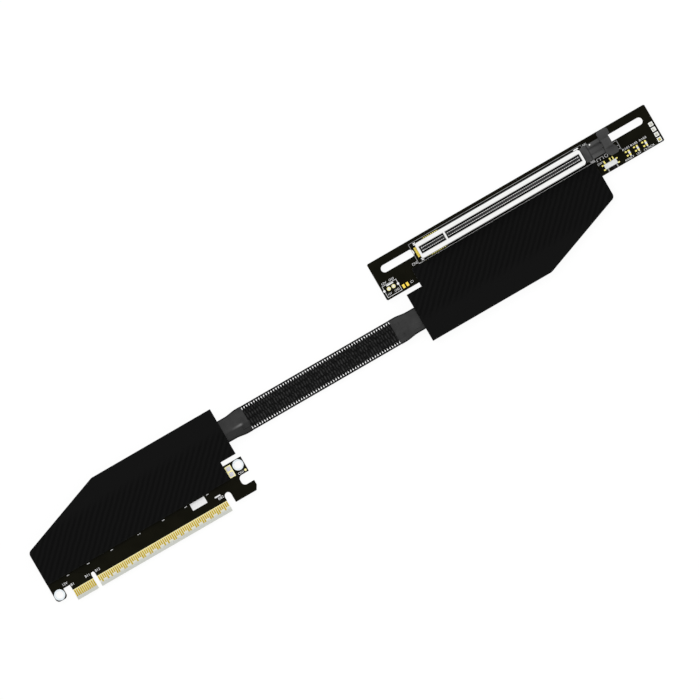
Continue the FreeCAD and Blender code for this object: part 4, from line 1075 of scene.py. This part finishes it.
def print_slot_board():
    """Lettering, marks and outlines round the slot and its parts."""
    left = slot_low.x
    near = slot_low.y
    white = Printing()
    soft = Printing()
    for word, (x, y), size in SLOT_WORDS:
        weight = SHADED_WEIGHT if word == SHADED_WORD else LETTER_WEIGHT
        white.words(word, left + x, near + y, *size, weight)
    for (x, y), size in SLOT_BARS:
        white.bar(left + x, near + y, *size)
    for (x, y), size in SLOT_SOFT_BARS:
        soft.bar(left + x, near + y, *size)
    header_x = [left + x for x in HEADER_BOX_X]
    header_y = [near + y for y in HEADER_BOX_Y]
    white.outline(header_x, header_y, HEADER_BOX_LINE)
    white.ring(left + LATCH_MARK[0], near + LATCH_MARK[1], LATCH_MARK_RADIUS, LATCH_MARK_LINE)
    white.finish("slot_board_printing", white_ink)
    soft.finish("slot_board_soft_printing", soft_ink)


def spring(shape, x, side, reach, foot_width):
    """Sprung contact on one side of the slot, with a solder foot that passes under the wall."""
    tip_z = far_high.z
    foot_z = board_top + SPRING_THICKNESS / 2
    line = [Vector((offset, tip_z - drop)) for offset, drop in SPRING_LINE]
    line += [Vector((SPRING_ROOT, foot_z)), Vector((housing_half + reach, foot_z))]
    loops = []
    for index, here in enumerate(line):
        before = line[max(index - 1, 0)]
        after = line[min(index + 1, len(line) - 1)]
        along = (after - before).normalized()
        skin = Vector((-along.y, along.x)) * SPRING_THICKNESS / 2
        outer = here + skin
        inner = here - skin
        width = SPRING_WIDTH if index < len(SPRING_LINE) else foot_width
        loop = []
        for at, (offset, z) in ((-1, outer), (1, outer), (1, inner), (-1, inner)):
            loop.append((x + at * width / 2, slot_axis + side * offset, max(z, board_top)))
        loops.append(loop)
    loft(shape, loops)


def add_contacts(name, node, side):
    """One row of sprung contacts, some with long feet."""
    shape = bmesh.new()
    for pin in range(1, PINS_SHORT_SIDE + PINS_LONG_SIDE + 1):
        past_key = 2 * KEY_TO_PIN - PIN_PITCH if pin > PINS_SHORT_SIDE else 0.0
        long_foot = LONG_FOOT_PINS[0] <= pin <= LONG_FOOT_PINS[1]
        reach = far_high.y - slot_axis - housing_half if long_foot else FOOT_REACH
        foot_width = LONG_FOOT_WIDTH if long_foot else FOOT_WIDTH
        spring(shape, first_pin + (pin - 1) * PIN_PITCH + past_key, side, reach, foot_width)
    piece = add_piece(name, shape, contact_finish, smooth=False)
    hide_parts(node)


def add_row_ends():
    """Guide ribs for the card's ends, in line with the contact rows."""
    shape = bmesh.new()
    reach = SPRING_WIDTH / 2 + ROW_END_GAP
    last_pin = far_high.x - PIN_WIDTH / 2
    heights = (board_top, far_high.z - ROW_END_DROP)
    for pin, outward in ((first_pin, -1), (last_pin, 1)):
        near_x = pin + outward * reach
        ends = sorted((near_x, near_x + outward * ROW_END_LENGTH))
        for side in (-1, 1):
            slab(shape, ends, sorted(slot_axis + side * offset for offset in ROW_END_Y), heights)
    add_piece("slot_row_ends", shape, rib_plastic, smooth=False)


def add_latch_stop():
    """Lips and a tongue on the bracket's end, which close most of the gap to the lever."""
    shape = bmesh.new()
    end = bracket_high.x - CHEEK_LENGTH
    top = bracket_high.z - LIP_DROP
    floor = bracket_high.z - CHANNEL_DEPTH
    outer = slot_axis - bracket_low.y
    section = [
        (CHANNEL_HALF, floor),
        (outer, floor),
        (outer, top),
        (CHANNEL_HALF + CHANNEL_LEAD_IN, top),
        (CHANNEL_HALF, top - CHANNEL_LEAD_IN),
    ]
    for side in (-1, 1):
        ends = (end - LOOSE_FIT, end + LIP_LENGTH)
        loft(shape, [[(x, slot_axis + side * offset, z) for offset, z in section] for x in ends])
    tongue_x = (end - LOOSE_FIT, end + TONGUE_LENGTH)
    tongue_y = (slot_axis - TONGUE_HALF, slot_axis + TONGUE_HALF)
    slab(shape, tongue_x, tongue_y, (floor - TONGUE_THICKNESS, floor))
    add_piece("latch_stop", shape, bracket_plastic, smooth=False)


def add_chip_lands():
    """Solder lands beyond the ends of the lamps and resistors."""
    shape = bmesh.new()
    low_end, high_end = corners("chip_caps")
    heights = (board_top, board_top + CHIP_LAND_HEIGHT)
    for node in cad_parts:
        if node.startswith(("lamp", "resistor")):
            low, high = corners(node)
            across = (low.x + CHIP_LAND_INSET, high.x - CHIP_LAND_INSET)
            slab(shape, across, (low_end.y - CHIP_LAND_REACH, low_end.y), heights)
            slab(shape, across, (high_end.y, high_end.y + CHIP_LAND_REACH), heights)
    add_piece("chip_lands", shape, cap_gold, smooth=False)


def add_camera():
    """Camera straight above, turned as the photograph is."""
    data = bpy.data.cameras.new("camera")
    data.lens = LENS
    data.sensor_width = SENSOR
    data.clip_end = CAMERA_REACH * MM
    camera = bpy.data.objects.new("camera", data)
    camera.location = Vector((*VIEW_CENTRE, board_top + VIEW_WIDTH * LENS / SENSOR)) * MM
    camera.rotation_euler = (0, 0, math.radians(-VIEW_TILT))
    bpy.context.scene.collection.objects.link(camera)
    bpy.context.scene.camera = camera


def add_lamp(name, place, power):
    """Soft square lamp aimed at the object, without a glare on its gloss."""
    data = bpy.data.lights.new(name, "AREA")
    data.energy = power
    data.size = LAMP_SIZE
    lamp = bpy.data.objects.new(name, data)
    lamp.location = place
    lamp.rotation_euler = (-Vector(place)).to_track_quat("-Z", "Y").to_euler()
    lamp.visible_glossy = False
    bpy.context.scene.collection.objects.link(lamp)


def seen_directly(tree):
    """1 for rays from the camera, off gloss or through glass, and 0 for others."""
    rays = tree.nodes.new("ShaderNodeLightPath")
    total = rays.outputs["Is Camera Ray"]
    for name in ("Is Glossy Ray", "Is Transmission Ray"):
        larger = tree.nodes.new("ShaderNodeMath")
        larger.operation = "MAXIMUM"
        tree.links.new(total, larger.inputs[0])
        tree.links.new(rays.outputs[name], larger.inputs[1])
        total = larger.outputs[0]
    return total


def light_world():
    """White surroundings that light the object at a plain level."""
    world = bpy.data.worlds.new("studio")
    bpy.context.scene.world = world
    world.use_nodes = True
    tree = world.node_tree
    background = tree.nodes["Background"]
    background.inputs["Color"].default_value = WHITE
    strength = tree.nodes.new("ShaderNodeMapRange")
    strength.inputs["To Min"].default_value = FILL
    tree.links.new(seen_directly(tree), strength.inputs["Value"])
    tree.links.new(strength.outputs["Result"], background.inputs["Strength"])


def add_floor():
    """White floor that keeps the object's shadow."""
    shape = bmesh.new()
    bmesh.ops.create_grid(shape, x_segments=1, y_segments=1, size=FLOOR_SIZE / 2)
    mesh = bpy.data.meshes.new("floor")
    shape.to_mesh(mesh)
    shape.free()
    floor = bpy.data.objects.new("floor", mesh)
    floor.location = (0, 0, -FLOOR_DROP)
    bpy.context.scene.collection.objects.link(floor)
    paper = Finish("floor_finish", roughness=0.9, specular=0.0)
    paper.paint(paper.blend(paper.grain(FLOOR_CLOUD), grey(228), grey(232)))
    glow = paper.add("ShaderNodeEmission", {"Color": WHITE, "Strength": FLOOR_GLOW})
    dim = paper.add("ShaderNodeBsdfDiffuse", {"Color": (FLOOR_SHADE, FLOOR_SHADE, FLOOR_SHADE, 1.0)})
    bright = paper.add("ShaderNodeAddShader", {0: glow.outputs[0], 1: dim.outputs[0]})
    inputs = {0: seen_directly(paper.tree), 1: paper.shader.outputs[0], 2: bright.outputs[0]}
    surface = paper.add("ShaderNodeMixShader", inputs).outputs[0]
    paper.set(paper.tree.nodes["Material Output"].inputs["Surface"], surface)
    mesh.materials.append(paper.material)


add_camera()
for node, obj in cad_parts.items():
    dress(node, obj)
edge_ends = (edge_boot_low.x, edge_boot_high.x)
slot_ends = (slot_boot_high.x, slot_boot_low.x)
edge_boot = add_boot("edge_boot_shrunk", "edge_boot", *edge_ends, EDGE_FOLD, edge_shrink)
slot_boot = add_boot("slot_boot_shrunk", "slot_boot", *slot_ends, SLOT_FOLD, slot_shrink)
sleeve = add_sleeve()
print_edge_board()
print_slot_board()
add_contacts("slot_contacts_far_sprung", "slot_contacts_far", 1)
add_contacts("slot_contacts_near_sprung", "slot_contacts_near", -1)
add_row_ends()
add_latch_stop()
add_chip_lands()
add_rings("edge_hole_rings_round", "edge_hole_rings", EAR_RING, ring_tin)
add_rings("header_rings_round", "header_rings", HEADER_RING, pale_gold)
add_lamp("key", KEY_PLACE, KEY_POWER)
add_lamp("side", SIDE_PLACE, SIDE_POWER)
light_world()
add_floor()
bpy.context.scene.view_settings.view_transform = "Standard"
